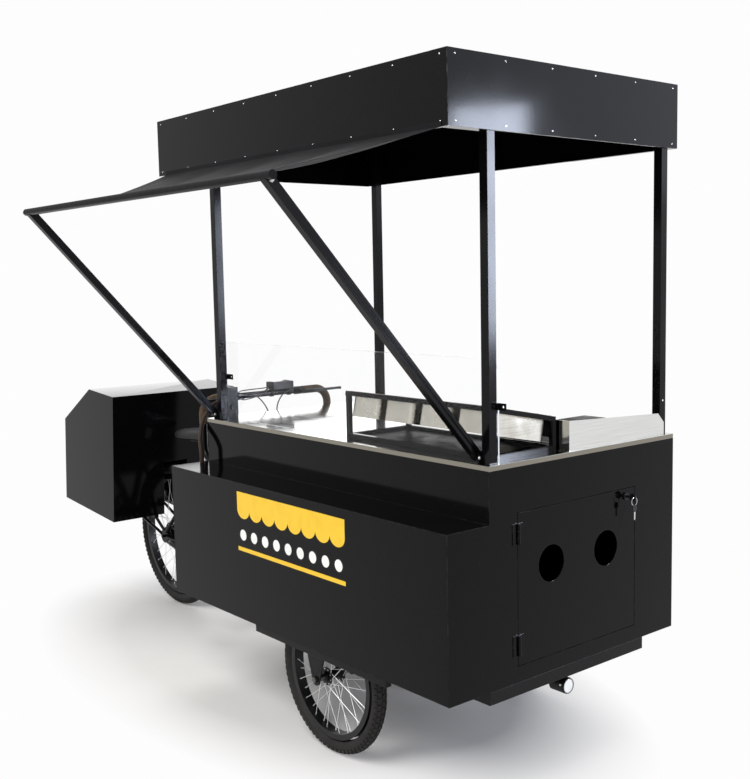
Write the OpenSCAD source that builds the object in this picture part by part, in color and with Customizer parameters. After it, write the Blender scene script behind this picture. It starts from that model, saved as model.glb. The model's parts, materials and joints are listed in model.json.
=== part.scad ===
// Bicycle food cart: a sheet-metal cart body on two wheels, pushed by the rear half of a bicycle.
// Millimetres. +X is the way it rides, -Y the serving side, +Z up, and the ground is Z 0.

/* [Cart body] */
// Length of the cart body
body_l = 1500; // [1300:10:1700]
// Width of the lower body, with the serving shelf
body_w = 1010; // [960:10:1100]
// Height of the counter top
counter_h = 1000; // [960:5:1060]
// Depth of the serving shelf in front of the counter
shelf_d = 160; // [110:5:200]
// Depth of the counter's folded edge
counter_edge = 15; // [12:1:24]
// Thickness of the counter's stainless sheet
counter_sheet = 2; // [1.5:0.5:3]
// Height of the serving shelf
shelf_h = 836; // [800:2:860]
// Height of the body's lower edge
body_bottom = 357; // [345:1:375]
// Thickness of the body's painted sheet
sheet = 3; // [2:0.5:4]
// Distance of the chassis rails inside the body's sides
chassis_inset = 157; // [145:1:175]
// Depth of a chassis rail
rail = 38; // [30:1:44]
// Wall of a chassis rail
rail_wall = 3; // [2:0.5:5]

/* [Doors and lock] */
// Width of the front door
door_w = 535; // [460:5:560]
// Height of the front door
door_h = 446; // [400:2:460]
// Sideways place of the front door's middle
door_y = 37; // [0:1:60]
// Height of the front door's lower edge
door_z = 407; // [400:1:420]
// Gap round every door
door_gap = 2; // [1.5:0.5:4]
// Diameter of the front door's vent holes
vent_d = 110; // [80:1:130]
// Distance between the vent holes
vent_pitch = 250; // [200:1:280]
// Depth of the vent holes' middle below the door's top
vent_drop = 171; // [120:1:200]
// Width of each operator door
operator_door_w = 560; // [450:5:600]
// Height of each operator door
operator_door_h = 370; // [300:5:380]
// Distance from the lock to the door's top and free edge
lock_inset = 47; // [40:1:60]
// Reach of the key in front of the door
key_reach = 40; // [34:1:50]

/* [Roof and posts] */
// Height of the roof top
roof_top = 2108; // [1980:4:2200]
// Depth of the roof's fascia
fascia_h = 199; // [150:1:220]
// Overhang of the roof behind the body
roof_rear = 60; // [40:2:90]
// Distance of the roof's front face behind the body's front
roof_front_inset = 8; // [4:1:12]
// Overhang of the roof past the counter's serving edge
roof_serving = 131; // [110:1:150]
// Overhang of the roof past the body on the operator's side
roof_operator = 19; // [10:1:40]
// Side of a post
post = 30; // [25:1:35]
// Wall of a post
post_wall = 2; // [1.5:0.5:3]
// Distance of the posts from the body's front and rear faces
post_end = 15; // [12:1:20]
// Distance of the serving posts from the counter's serving edge
post_serving = 19; // [14:1:24]
// Distance of the operator's posts from the operator's edge
post_operator = 22; // [18:1:30]

/* [Awning] */
// Distance of the awning bar from the arms' pivot, sideways
awning_out = 681; // [560:1:720]
// Distance of the awning bar from the arms' pivot, upwards
awning_up = 744; // [700:1:780]
// Side of an awning arm
arm = 25; // [20:1:28]
// Diameter of the awning bar
awning_bar_d = 22; // [18:1:28]
// Diameter of the arms' pivot bolts
arm_bolt_d = 10; // [8:1:12]
// Thickness of the awning cloth with its folds
cloth = 2; // [1.5:0.5:3]
// Sag of the awning cloth in the middle
cloth_sag = 26; // [10:1:40]

/* [Counter fittings] */
// Height of the acrylic guard
guard_h = 290; // [240:2:320]
// Thickness of the acrylic guard
guard_t = 5; // [4:1:8]
// Length of a food pan's rim across the counter
pan_l = 265; // [255:1:270]
// Width of a food pan's rim along the counter
pan_w = 162; // [150:1:163]
// Depth of a food pan
pan_depth = 80; // [65:1:90]
// Number of food pans
pans = 4; // [4:1:4]
// Side of a bar of the pan rack
rack_bar = 15; // [12:1:18]
// Height of the pan rack on the serving side
rack_high = 155; // [150:1:170]
// Height of the pan rack on the operator's side
rack_low = 100; // [96:1:110]
// Height of the griddle's splash guard
splash_h = 90; // [70:1:110]
// Length of the griddle along the counter
griddle_l = 300; // [240:5:340]

/* [Handlebar] */
// Distance of the handlebar behind the body
bar_back = 100; // [90:1:130]
// Height of the handlebar above the counter
bar_up = 60; // [50:1:90]
// Width over the grips
bar_w = 640; // [600:5:680]
// Diameter of the handlebar tube
bar_d = 25; // [22:0.5:28]
// Diameter of a grip
grip_d = 33; // [31:1:36]
// Reach of a brake lever in front of the bar
lever_reach = 48; // [44:1:54]

/* [Front wheels] */
// Outer radius of a front tyre
front_r = 255; // [240:1:260]
// Width of a front tyre
front_tyre_w = 50; // [44:1:54]
// Distance of the front axle ahead of the body's rear
front_x = 872; // [820:1:920]
// Distance of a front wheel's middle inside the body's side
wheel_inset = 80; // [74:1:88]
// Diameter of the front axles
front_axle_d = 12; // [10:1:14]

/* [Rear bicycle] */
// Outer radius of the rear tyre
rear_r = 333; // [325:1:340]
// Width of the rear tyre
rear_tyre_w = 54; // [46:1:58]
// Distance of the rear axle behind the body
rear_x = 900; // [880:1:930]
// Diameter of the rear axle
rear_axle_d = 14; // [12:1:16]
// Distance of the steering pin behind the body
pin_back = 95; // [85:1:110]
// Diameter of the steering pin
pin_d = 24; // [20:1:28]
// Distance of the crank axle behind the body
crank_x = 470; // [450:1:490]
// Height of the crank axle
crank_z = 300; // [285:1:310]
// Length of a crank
crank_l = 165; // [150:1:172]
// Length of the seat tube
seat_tube_l = 440; // [420:1:460]
// Lean of the seat tube to the rear, in degrees
seat_lean = 18.4; // [16:0.2:20]
// Diameter of the bicycle's main tubes
tube_d = 38; // [34:1:44]
// Diameter of the seat post
seat_post_d = 27; // [25:0.2:30]
// Height that the seat post shows above the seat tube
seat_up = 85; // [70:1:110]
// Length of the saddle
saddle_l = 250; // [230:1:270]
// Width of the saddle
saddle_w = 170; // [150:1:200]

/* [Rear box] */
// Width of the rear box
box_w = 634; // [560:2:660]
// Length of the rear box
box_l = 520; // [490:2:560]
// Height of the rear box's front wall
box_h = 580; // [560:2:600]
// Height of the rear box's rear wall
box_rear_h = 395; // [360:2:420]
// Length of the rear box's flat top
box_top_l = 245; // [220:1:270]
// Rise of the rear box towards its rear, in degrees
box_pitch = 4.5; // [3.5:0.1:5]
// Place of the box's lower front edge behind the body
box_x = 915; // [900:1:930]
// Height of the box's lower front edge
box_z = 435; // [430:1:450]
// Width of the box's wheel slot
slot_w = 120; // [100:2:150]

/* [Hidden] */
$fn = 48;
// Running clearance on a radius, gap between neighbouring faces, and overlap of a cut
fit = 0.05;
near = 0.3;
cut = 1;
// Depth that welded pieces of one node run into each other
weld = 0.5;

// Places of the body
counter_y = shelf_d - body_w / 2;
chassis_w = body_w - 2 * chassis_inset;
wall_top = counter_h - counter_edge;
floor_top = body_bottom + sheet;
chassis_low = body_bottom - rail;

// Places of the roof and the posts
roof_x = [-roof_rear, body_l - roof_front_inset];
roof_y = [counter_y - roof_serving, body_w / 2 + roof_operator];
roof_low = roof_top - fascia_h;
fascia_lip = 15;
rear_post_end = 45;
post_x = [rear_post_end, body_l - post_end - post];
post_y = [counter_y + post_serving, body_w / 2 - post_operator - post];

// Places of the awning
bracket_t = 5;
arm_foot = 5.5;
pivot_y = post_y[0];
pivot_z = counter_h + arm_foot + arm / 2;
bar_y = pivot_y - awning_out;
bar_z = pivot_z + awning_up;
arm_l = norm([awning_out, awning_up]);
arm_lean = atan2(awning_out, awning_up);
bar_over = 20;

// Places of the counter fittings
guard_gap = 9;
guard_end = 20;
guard_round = 40;
guard_y = post_y[0] + post + guard_gap;
clip_up = 150;
clip_z = counter_h + clip_up;
clip_h = 20;
clip_hole_r = 4;
pan_gap = 3;
pan_lip = 8;
rack_gap = 5;
rack_end = 55;
rack_slope_l = pan_l - 2 * pan_lip + 2 * rack_bar;
rack_tilt = asin((rack_high - rack_low) / rack_slope_l);
rack_d = rack_slope_l * cos(rack_tilt);
rack_l = pans * (pan_w + pan_gap) + pan_gap;
rack_x = body_l - rack_end - rack_l;
rack_y = guard_y + guard_t + rack_gap;
splash_t = 2;
splash_gap = 7;
splash_in = 10;
splash_x = body_l - splash_in;
splash_y = rack_y + rack_d + splash_gap;
griddle_gap = 6;
griddle_t = 12;
griddle_up = 25;

// Places of the handlebar
bar_x = -bar_back;
bar_h = counter_h + bar_up;
bend_r = 60;
leg_y = bar_w / 2 - grip_d / 2;
leg_l = 120;
perch_y = 150;
perch_w = 26;
lever_t = 10;
lever_pin_r = 4;
lever_back = 14;
lever_pivot_x = bar_x + lever_reach - lever_back;
grip_straight = 70;

// Places of the wheels
front_side = 48;
rear_side = 53;
front_y = body_w / 2 - wheel_inset;
front_bead = front_r - front_side;
rear_bead = rear_r - rear_side;
rim_t = 18;
rim_w = 36;
spokes = 20;
spoke_r = 1.2;
housing_gap = 22;
housing_room = 60;
housing_inner = front_y - housing_room;
housing_top = 2 * front_r + housing_gap;
hanger = 22;
hanger_l = 686;
hanger_shift = 17;
plate_t = 5;
plate_out = 65;
outer_plate_y = front_y + plate_out;
inner_plate_y = chassis_w / 2;
hub_half = 37;

// Places of the bicycle
pin_x = -pin_back;
yoke_up = 98;
yoke_l = 195;
yoke_z = [body_bottom + yoke_up, body_bottom + yoke_up + yoke_l];
yoke_t = 10;
yoke_w = 80;
yoke_gap = 0.5;
head_wall = 10;
head_r = pin_d / 2 + head_wall;
seat_dir = [-sin(seat_lean), 0, cos(seat_lean)];
crank_at = [-crank_x, 0, crank_z];
axle_at = [-rear_x, 0, rear_r];
seat_top = crank_at + seat_tube_l * seat_dir;
stay_d = 16;
drop_y = 66;
drop_t = 6;
drop_mid = drop_y + drop_t / 2;
chain_y = -52;
chain_w = 7;
chain_t = 6;
ring_teeth = 42;
cog_teeth = 18;
chain_pitch = 12.7;
ring_r = ring_teeth * chain_pitch / 360 * 180 / PI;
cog_r = cog_teeth * chain_pitch / 360 * 180 / PI;
spindle_r = 9;
crank_angle = 25;
crank_y = 72;
crank_t = 14;
pedal_pin_r = 6;
pedal = [100, 90, 24];
motor_r = 60;
motor_half = 38;

// Places of the rear box
box_slant = atan2(box_h - box_rear_h, box_l - box_top_l);
box_slant_l = norm([box_h - box_rear_h, box_l - box_top_l]);
lid_margin = 30;
tunnel_l = 360;
tunnel_h = 250;
rack_rail = 20;
rack_rail_y = 90;

// Doors of the operator's side and the lock
operator_door_z = (housing_top + wall_top) / 2;
operator_mid = body_l / 2;
pull_out = 18;
pull_bar = 6;
pull_end = 16;
pull_in = 40;
lock_r = 9;
lock_y = door_gap / 2 + door_w - lock_inset;
lock_z = door_h / 2 - lock_inset / 2;

// Places of the switch box, the loom and the lamp
switch_low = [2, guard_y + guard_t + rack_gap, 0];
switch_size = [30, 54, 112];
cable_route = [[18, 117, 7], [18, 109, 7], [18, 101, 7], [22, 62, -8], [30, 28, -50], [48, 14, -110],
  [66, 12, -146], [84, 12, -160], [92, 12, -160], [100, 12, -160]];
// The loom's points lie from the switch box's back, the counter's serving edge and the counter top
loom_route = [[0, 85, 60], [-9, 85, 60], [-18, 85, 60], [-36, 45, 42], [-32, 0, -10],
  [-6, -31, -70], [14, -41, -112], [18, -41, -136], [18, -41, -150], [18, -41, -164]];
lamp_r = 25;
lamp_y = -7;
lamp_l = 52;
lamp_drop = 8;
lamp_back = 4;
lens_t = 5;
lens_rim = 2;

// Places of the awning cloth
arm_x = [for (x = post_x) x - bracket_t - near - arm];
cloth_x = [arm_x[0] - bar_over, arm_x[1] + arm + bar_over];
cloth_steps = 12;
wrap_steps = 6;
fold_columns = 30;
fold_depth = 5;
fold_count = 4.5;
wrap_r = awning_bar_d / 2 + near + cloth / 2;
wrap_from = 75;
wrap_to = 205;
cloth_hem = 14;
cloth_top = [roof_y[0] - near - cloth / 2, roof_low + cloth_hem];
cloth_low = [bar_y, bar_z] + wrap_r * [cos(wrap_from), sin(wrap_from)];

// Form of the saddle
saddle_shift = -30;
saddle_rings = 14;
saddle_sides = 16;
nose_w = 42;
saddle_t = 46;
seat_head_h = 18;
seat_rail_d = 7;

// Lid of the rear box
lid_side = 40;
lid_w = box_w - 2 * lid_side;
lid_l = box_slant_l - 2 * lid_margin;

// Middle of the whole cart, which the origin stands under
front_end = body_l + key_reach;
rear_end = -(box_x + box_l * cos(box_pitch));
serving_end = bar_y - wrap_r - cloth / 2;
operator_end = max(roof_y[1], body_w / 2 + pull_out);
middle = [(front_end + rear_end) / 2, (serving_end + operator_end) / 2, 0];

// Hinges of the doors
hinge_r = 5;
hinge_pin_r = 2.5;
leaf_w = 22;
leaf_t = 2;
door_hinge_l = 60;

// Shapes that repeat
module placed() {
  translate(-middle) children();
}

module box(low, high) {
  translate(low) cube(high - low);
}

module rod(a, b, d) {
  v = b - a;
  translate(a) rotate([0, acos(v[2] / norm(v)), atan2(v[1], v[0])]) cylinder(d = d, h = norm(v));
}

module along_y(y0, y1, r) {
  translate([0, y0, 0]) rotate([-90, 0, 0]) cylinder(r = r, h = y1 - y0);
}

module along_x(x0, x1, r) {
  translate([x0, 0, 0]) rotate([0, 90, 0]) cylinder(r = r, h = x1 - x0);
}

module rounded_rect(w, l, r) {
  square([w - 2 * r, l], center = true);
  square([w, l - 2 * r], center = true);
  for (x = [-1, 1], y = [-1, 1]) translate([x * (w / 2 - r), y * (l / 2 - r)]) circle(r);
}

// One knuckle hinge on a face: X is out of the face, Y towards the door, Z along the pin
module hinge_fixed() {
  k = door_hinge_l / 3;
  translate([-weld, -leaf_w, -door_hinge_l / 2])
    cube([leaf_t + weld, leaf_w - hinge_r - near, door_hinge_l]);
  for (z = [-1.5 * k, 0.5 * k]) {
    translate([hinge_r, 0, z]) cylinder(r = hinge_r, h = k);
    translate([0, -hinge_r - cut, z]) cube([leaf_t, hinge_r + cut, k]);
  }
  translate([hinge_r, 0, -door_hinge_l / 2]) cylinder(r = hinge_pin_r, h = door_hinge_l);
}

module hinge_moving() {
  k = door_hinge_l / 3;
  translate([-weld, hinge_r + near, -door_hinge_l / 2])
    cube([leaf_t + weld, leaf_w - hinge_r - near, door_hinge_l]);
  difference() {
    union() {
      translate([hinge_r, 0, -k / 2 + near]) cylinder(r = hinge_r, h = k - 2 * near);
      translate([0, 0, -k / 2 + near]) cube([leaf_t, hinge_r + cut, k - 2 * near]);
    }
    translate([hinge_r, 0, -k]) cylinder(r = hinge_pin_r + fit, h = 2 * k);
  }
}

module door_hinges(h) {
  for (z = [-1, 1]) translate([0, 0, z * (h / 2 - door_hinge_l)]) children();
}

module door_plate(w, h) {
  translate([-sheet, door_gap / 2, -h / 2]) cube([sheet, w, h]);
  door_hinges(h) hinge_moving();
}

module at_front_hinge() {
  translate([body_l, door_y - door_w / 2 - door_gap / 2, door_z + door_h / 2]) children();
}

module at_operator_hinge(side) {
  x = operator_mid + side * (operator_door_w + 1.5 * door_gap);
  translate([x, body_w / 2, operator_door_z]) mirror([side > 0 ? 0 : 1, 0, 0]) rotate([0, 0, 90])
    children();
}

// Outline of the front and rear panels, with the step of the serving shelf
module end_outline() {
  polygon([[-body_w / 2, body_bottom], [body_w / 2, body_bottom], [body_w / 2, wall_top],
    [counter_y, wall_top], [counter_y, shelf_h], [-body_w / 2, shelf_h]]);
}

module end_panel(x) {
  translate([x, 0, 0]) rotate([90, 0, 90]) linear_extrude(sheet) children();
}

// A rail pressed from sheet, open below
module rail_x(x0, x1, y) {
  difference() {
    box([x0, y - rail / 2, chassis_low], [x1, y + rail / 2, body_bottom]);
    box([x0 + rail_wall, y - rail / 2 + rail_wall, chassis_low - cut],
      [x1 - rail_wall, y + rail / 2 - rail_wall, body_bottom - rail_wall]);
  }
}

module rail_y(x) {
  difference() {
    box([x, -chassis_w / 2, chassis_low], [x + rail, chassis_w / 2, body_bottom]);
    box([x + rail_wall, -chassis_w / 2 + rail_wall, chassis_low - cut],
      [x + rail - rail_wall, chassis_w / 2 - rail_wall, body_bottom - rail_wall]);
  }
}

// Cart body
module chassis_frame() {
  rails = [0, (body_l - rail) / 3, 2 * (body_l - rail) / 3, body_l - rail];
  color("dimgray") placed() {
    for (x = rails) rail_y(x);
    for (i = [0:2], side = [-1, 1])
      rail_x(rails[i] + rail - weld, rails[i + 1] + weld, side * (chassis_w - rail) / 2);
  }
}

module floor_panel() {
  color("dimgray") placed() difference() {
    box([sheet, -body_w / 2 + sheet, body_bottom], [body_l - sheet, body_w / 2 - sheet, floor_top]);
    for (side = [0, 1]) mirror([0, side, 0])
      box([front_x - front_r - housing_gap, housing_inner, body_bottom - cut],
        [front_x + front_r + housing_gap, body_w, floor_top + cut]);
  }
}

module front_panel() {
  hole_w = door_w + 2 * door_gap;
  color("#1b1b1d") placed() {
    end_panel(body_l - sheet) difference() {
      end_outline();
      translate([door_y - hole_w / 2, door_z - door_gap]) square([hole_w, door_h + 2 * door_gap]);
    }
    at_front_hinge() door_hinges(door_h) hinge_fixed();
  }
}

module rear_panel() {
  color("#1b1b1d") placed() end_panel(0) end_outline();
}

module serving_panel() {
  color("#1b1b1d") placed()
    box([sheet, -body_w / 2, body_bottom], [body_l - sheet, -body_w / 2 + sheet, shelf_h - sheet]);
}

module serving_shelf() {
  color("#1b1b1d") placed() {
    box([sheet, -body_w / 2, shelf_h - sheet], [body_l - sheet, counter_y + sheet, shelf_h]);
    box([sheet, counter_y, shelf_h - sheet], [body_l - sheet, counter_y + sheet, wall_top]);
  }
}

module operator_panel() {
  hole_w = 2 * operator_door_w + 3 * door_gap;
  hole_h = operator_door_h + 2 * door_gap;
  color("#1b1b1d") placed() {
    difference() {
      box([sheet, body_w / 2 - sheet, body_bottom], [body_l - sheet, body_w / 2, wall_top]);
      translate([operator_mid, body_w / 2 - sheet / 2, operator_door_z])
        cube([hole_w + door_gap, sheet + 2 * cut, hole_h], center = true);
    }
    for (side = [-1, 1]) at_operator_hinge(side) door_hinges(operator_door_h) hinge_fixed();
  }
}

module wheel_housings() {
  x0 = front_x - front_r - housing_gap;
  x1 = front_x + front_r + housing_gap;
  color("dimgray") placed() for (side = [0, 1]) mirror([0, side, 0]) {
    box([x0, housing_inner - sheet, floor_top], [x1, housing_inner, housing_top]);
    box([x0, housing_inner - sheet, housing_top], [x1, body_w / 2 - sheet, housing_top + sheet]);
    for (x = [x0 - sheet, x1])
      box([x, housing_inner - sheet, floor_top], [x + sheet, body_w / 2 - sheet, housing_top + sheet]);
  }
}

module countertop() {
  color("silver") placed() difference() {
    box([0, counter_y, wall_top], [body_l, body_w / 2, counter_h]);
    box([counter_sheet, counter_y + counter_sheet, wall_top - cut],
      [body_l - counter_sheet, body_w / 2 - counter_sheet, counter_h - counter_sheet]);
  }
}

// Roof
module roof_posts() {
  color("#222224") placed() for (x = post_x, y = post_y) difference() {
    box([x, y, counter_h], [x + post, y + post, roof_top - sheet]);
    box([x + post_wall, y + post_wall, counter_h - cut],
      [x + post - post_wall, y + post - post_wall, roof_top]);
  }
}

module roof_panel() {
  color("#1b1b1d") placed()
    box([roof_x[0] + sheet, roof_y[0] + sheet, roof_top - sheet],
      [roof_x[1] - sheet, roof_y[1] - sheet, roof_top]);
}

module roof_fascia() {
  color("#1b1b1d") placed() difference() {
    box([roof_x[0], roof_y[0], roof_low], [roof_x[1], roof_y[1], roof_top]);
    box([roof_x[0] + sheet, roof_y[0] + sheet, roof_low + sheet],
      [roof_x[1] - sheet, roof_y[1] - sheet, roof_top + cut]);
    box([roof_x[0] + fascia_lip, roof_y[0] + fascia_lip, roof_low - cut],
      [post_x[1] - near, roof_y[1] - fascia_lip, roof_top]);
    box([post_x[1] - cut, post_y[0] - near, roof_low - cut],
      [post_x[1] + post + near, post_y[1] + post + near, roof_top]);
  }
}

module post_brackets() {
  head_r = 9;
  head_t = 6;
  lug = [bracket_t, post_y[0] + post - pivot_y + arm / 2, 2 * (pivot_z - counter_h)];
  leaf_l = 28;
  clip_t = 3;
  color("#222224") placed() for (x = post_x) {
    translate([x - bracket_t, pivot_y - arm / 2, counter_h]) cube(lug);
    translate([x, pivot_y, pivot_z]) {
      along_x(-bracket_t - 2 * near - arm, -bracket_t, arm_bolt_d / 2);
      along_x(-bracket_t - 2 * near - arm - head_t, -bracket_t - 2 * near - arm, head_r);
    }
    box([x, post_y[0] + post, clip_z], [x + post, guard_y, clip_z + clip_h]);
    difference() {
      box([x + post, guard_y - clip_t, clip_z], [x + post + leaf_l, guard_y, clip_z + clip_h]);
      translate([x + post + leaf_l - clip_h / 2, 0, clip_z + clip_h / 2])
        along_y(guard_y - 2 * clip_t, guard_y + cut, clip_hole_r);
    }
  }
}

// Counter fittings
module sneeze_guard() {
  x0 = guard_end;
  x1 = body_l - guard_end;
  color("lightcyan", 0.35) placed() translate([0, guard_y + guard_t, counter_h]) rotate([90, 0, 0])
    linear_extrude(guard_t) {
      translate([x0, 0]) square([x1 - x0, guard_h - guard_round]);
      translate([x0 + guard_round, 0]) square([x1 - x0 - 2 * guard_round, guard_h]);
      for (x = [x0 + guard_round, x1 - guard_round])
        translate([x, guard_h - guard_round]) circle(guard_round);
    }
}

// The sloping top of the pan rack: X along the counter, Y down the slope
module on_rack() {
  translate([rack_x, rack_y, counter_h + rack_high]) rotate([-rack_tilt, 0, 0]) children();
}

module rack_ring(l, d, z) {
  difference() {
    translate([0, 0, z]) cube([l, d, rack_bar]);
    translate([rack_bar, rack_bar, z - cut])
      cube([l - 2 * rack_bar, d - 2 * rack_bar, rack_bar + 2 * cut]);
  }
}

module pan_rack() {
  sink = rack_bar / 2;
  color("#18181a") placed() {
    translate([rack_x, rack_y, counter_h]) {
      rack_ring(rack_l, rack_d, 0);
      for (x = [0, rack_l - rack_bar]) {
        translate([x, 0, 0]) cube([rack_bar, rack_bar, rack_high - sink]);
        translate([x, rack_d - rack_bar, 0]) cube([rack_bar, rack_bar, rack_low - sink]);
      }
    }
    on_rack() rack_ring(rack_l, rack_slope_l, -rack_bar);
  }
}

module drip_tray() {
  gap = 2;
  wall = 2;
  low = [rack_x + rack_bar + gap, rack_y + rack_bar + gap, counter_h];
  high = [rack_x + rack_l - rack_bar - gap, rack_y + rack_d - rack_bar - gap, counter_h + rack_bar - gap];
  color("#101012") placed() difference() {
    box(low, high);
    box(low + [wall, wall, wall], high + [-wall, -wall, cut]);
  }
}

module food_pan(i) {
  wall = 1.2;
  round_r = 18;
  side = rack_bar - pan_gap + 2;
  body = [pan_w - 2 * side, rack_slope_l - 2 * rack_bar - 2 * rack_gap];
  middle_x = pan_gap + (i - 0.5) * (pan_w + pan_gap) - pan_gap / 2;
  color("silver") placed() on_rack() translate([middle_x, rack_slope_l / 2, near]) difference() {
    union() {
      linear_extrude(wall) rounded_rect(pan_w, pan_l, round_r);
      translate([0, 0, -pan_depth]) linear_extrude(pan_depth) rounded_rect(body[0], body[1], round_r);
    }
    translate([0, 0, wall - pan_depth]) linear_extrude(pan_depth + cut)
      rounded_rect(body[0] - 2 * wall, body[1] - 2 * wall, round_r - wall);
  }
}

module griddle_plate() {
  x1 = splash_x - splash_t - griddle_gap - post - post_end;
  x0 = x1 - griddle_l + post + post_end;
  top = counter_h + griddle_up;
  y0 = splash_y + splash_t + griddle_gap;
  y1 = post_y[1] - griddle_gap;
  foot_in = 30;
  foot_r = 12;
  color("#2b2b2d") placed() {
    box([x0, y0, top], [x1, y1, top + griddle_t]);
    for (x = [x0 + foot_in, x1 - foot_in], y = [y0 + foot_in, y1 - foot_in])
      translate([x, y, counter_h]) cylinder(r = foot_r, h = griddle_up + cut);
  }
}

module splash_guard() {
  end_y = post_y[1] + post / 2;
  far_drop = 19;
  corner = 31;
  color("silver") placed() {
    box([splash_x - griddle_l - splash_t, splash_y, counter_h],
      [splash_x, splash_y + splash_t, counter_h + splash_h]);
    translate([splash_x - splash_t, 0, counter_h]) rotate([90, 0, 90]) linear_extrude(splash_t)
      polygon([[splash_y, 0], [end_y, 0], [end_y, splash_h - far_drop - corner],
        [end_y - corner, splash_h - far_drop], [splash_y, splash_h]]);
  }
}

// Handlebar
module at_bar() {
  translate([bar_x, 0, bar_h]) children();
}

// Half of the bar's route on the operator's side: straight from start, round the bend and down the leg
module bar_route(d, start, down) {
  along_y(start, leg_y - bend_r, d / 2);
  translate([0, leg_y - bend_r, -bend_r]) rotate([90, 0, 90]) rotate_extrude(angle = 90)
    translate([bend_r, 0]) circle(d = d);
  translate([0, leg_y, -bend_r - down]) cylinder(d = d, h = down);
}

module perch() {
  fork_t = 4;
  fork_end = 8;
  adjuster_l = 20;
  adjuster_r = 5;
  pivot = lever_pivot_x - bar_x;
  jaw = lever_t / 2 + near;
  translate([0, perch_y, 0]) {
    difference() {
      union() {
        along_y(-perch_w / 2, perch_w / 2, bar_d / 2 + fork_t);
        for (z = [-1, 1]) translate([0, 0, z * (jaw + fork_t / 2)])
          translate([0, -perch_w / 2, -fork_t / 2]) cube([pivot + fork_end, perch_w, fork_t]);
      }
      along_y(-perch_w, perch_w, bar_d / 2);
      translate([bar_d / 2 + fork_t, -perch_w, -jaw]) cube([lever_reach, 2 * perch_w, 2 * jaw]);
    }
    translate([pivot, 0, -jaw]) cylinder(r = lever_pin_r, h = 2 * jaw);
    translate([bar_d / 2 + adjuster_r - cut, 0, jaw + fork_t / 2])
      along_y(-perch_w / 2 - adjuster_l, -perch_w / 2, adjuster_r);
  }
}

module handlebar() {
  flange_t = 6;
  flange_r = 32;
  color("#2a2a2c") placed() at_bar() for (side = [0, 1]) mirror([0, side, 0]) {
    bar_route(bar_d, 0, leg_l);
    translate([bend_r, leg_y, -bend_r - leg_l]) rotate([90, 0, 0]) rotate([0, 0, 180])
      rotate_extrude(angle = 90) translate([bend_r, 0]) circle(d = bar_d);
    translate([0, leg_y, -2 * bend_r - leg_l]) {
      along_x(bend_r, bar_back - flange_t, bar_d / 2);
      along_x(bar_back - flange_t, bar_back, flange_r);
    }
    perch();
  }
}

module handlebar_grips() {
  grip_down = 35;
  start = leg_y - bend_r - grip_straight;
  color("#6b5138") placed() at_bar() for (side = [0, 1]) mirror([0, side, 0]) difference() {
    bar_route(grip_d, start, grip_down);
    bar_route(bar_d + 2 * fit, start - cut, grip_down + cut);
  }
}

module brake_lever(side) {
  dx = lever_pivot_x - bar_x;
  tip_out = 12;
  tip_y = bar_w / 2 + tip_out;
  sweep_y = perch_y + 50;
  blade = 10;
  boss_r = 9;
  tip_r = 8;
  color("#1c1c1e") placed() at_bar() mirror([0, side > 0 ? 0 : 1, 0]) difference() {
    translate([0, 0, -lever_t / 2]) linear_extrude(lever_t) {
      translate([dx, perch_y]) circle(boss_r);
      polygon([[dx - boss_r / 2, perch_y], [dx + boss_r, perch_y], [lever_reach + blade, sweep_y],
        [lever_reach + blade, tip_y], [lever_reach, tip_y], [lever_reach, sweep_y + blade / 2]]);
      translate([lever_reach + blade / 2, tip_y]) circle(tip_r);
    }
    translate([dx, perch_y, -lever_t]) cylinder(r = lever_pin_r + fit, h = 2 * lever_t);
  }
}

module brake_lever_left() {
  brake_lever(1);
}

module brake_lever_right() {
  brake_lever(-1);
}

module control_unit() {
  y0 = 14;
  y1 = 114;
  ring_w = 14;
  ring_t = 3.5;
  shell_low = bar_d / 2 + 2;
  shell = [54, y1 - y0, 30];
  color("#232327") placed() at_bar() {
    translate([-shell[0] / 2, y0, shell_low]) cube(shell);
    for (y = [y0, y1 - ring_w]) translate([0, y, 0]) difference() {
      union() {
        along_y(0, ring_w, bar_d / 2 + ring_t);
        translate([-ring_t, 0, 0]) cube([2 * ring_t, ring_w, shell_low + cut]);
      }
      along_y(-cut, ring_w + cut, bar_d / 2 + fit);
    }
  }
}

module switch_box() {
  knob_r = 9;
  knob_t = 8;
  color("#1a1a1c") placed() translate([0, 0, counter_h]) {
    box(switch_low, switch_low + switch_size);
    translate([switch_low[0] + switch_size[0], switch_low[1] + switch_size[1] / 2, switch_size[2] / 3])
      along_x(0, knob_t, knob_r);
  }
}

// A round tube swept along points, its rings carried from one point to the next without twist
function unit(v) = v / norm(v);
function heading(p, i) = unit(p[min(i + 1, len(p) - 1)] - p[max(i - 1, 0)]);
function carried(p, i, u) = i == len(p) ? [] :
  let (t = heading(p, i), n = unit(u - (u * t) * t)) concat([[n, cross(t, n)]], carried(p, i + 1, n));
function between(p, i, f) =
  let (a = p[max(i - 1, 0)], b = p[i], c = p[i + 1], d = p[min(i + 2, len(p) - 1)])
  0.5 * (2 * b + (c - a) * f + (2 * a - 5 * b + 4 * c - d) * f * f + (3 * b - a - 3 * c + d) * f * f * f);
function smooth(p, steps) =
  [for (i = [0:len(p) - 2], k = [0:steps - 1]) between(p, i, k / steps), p[len(p) - 1]];

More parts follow.
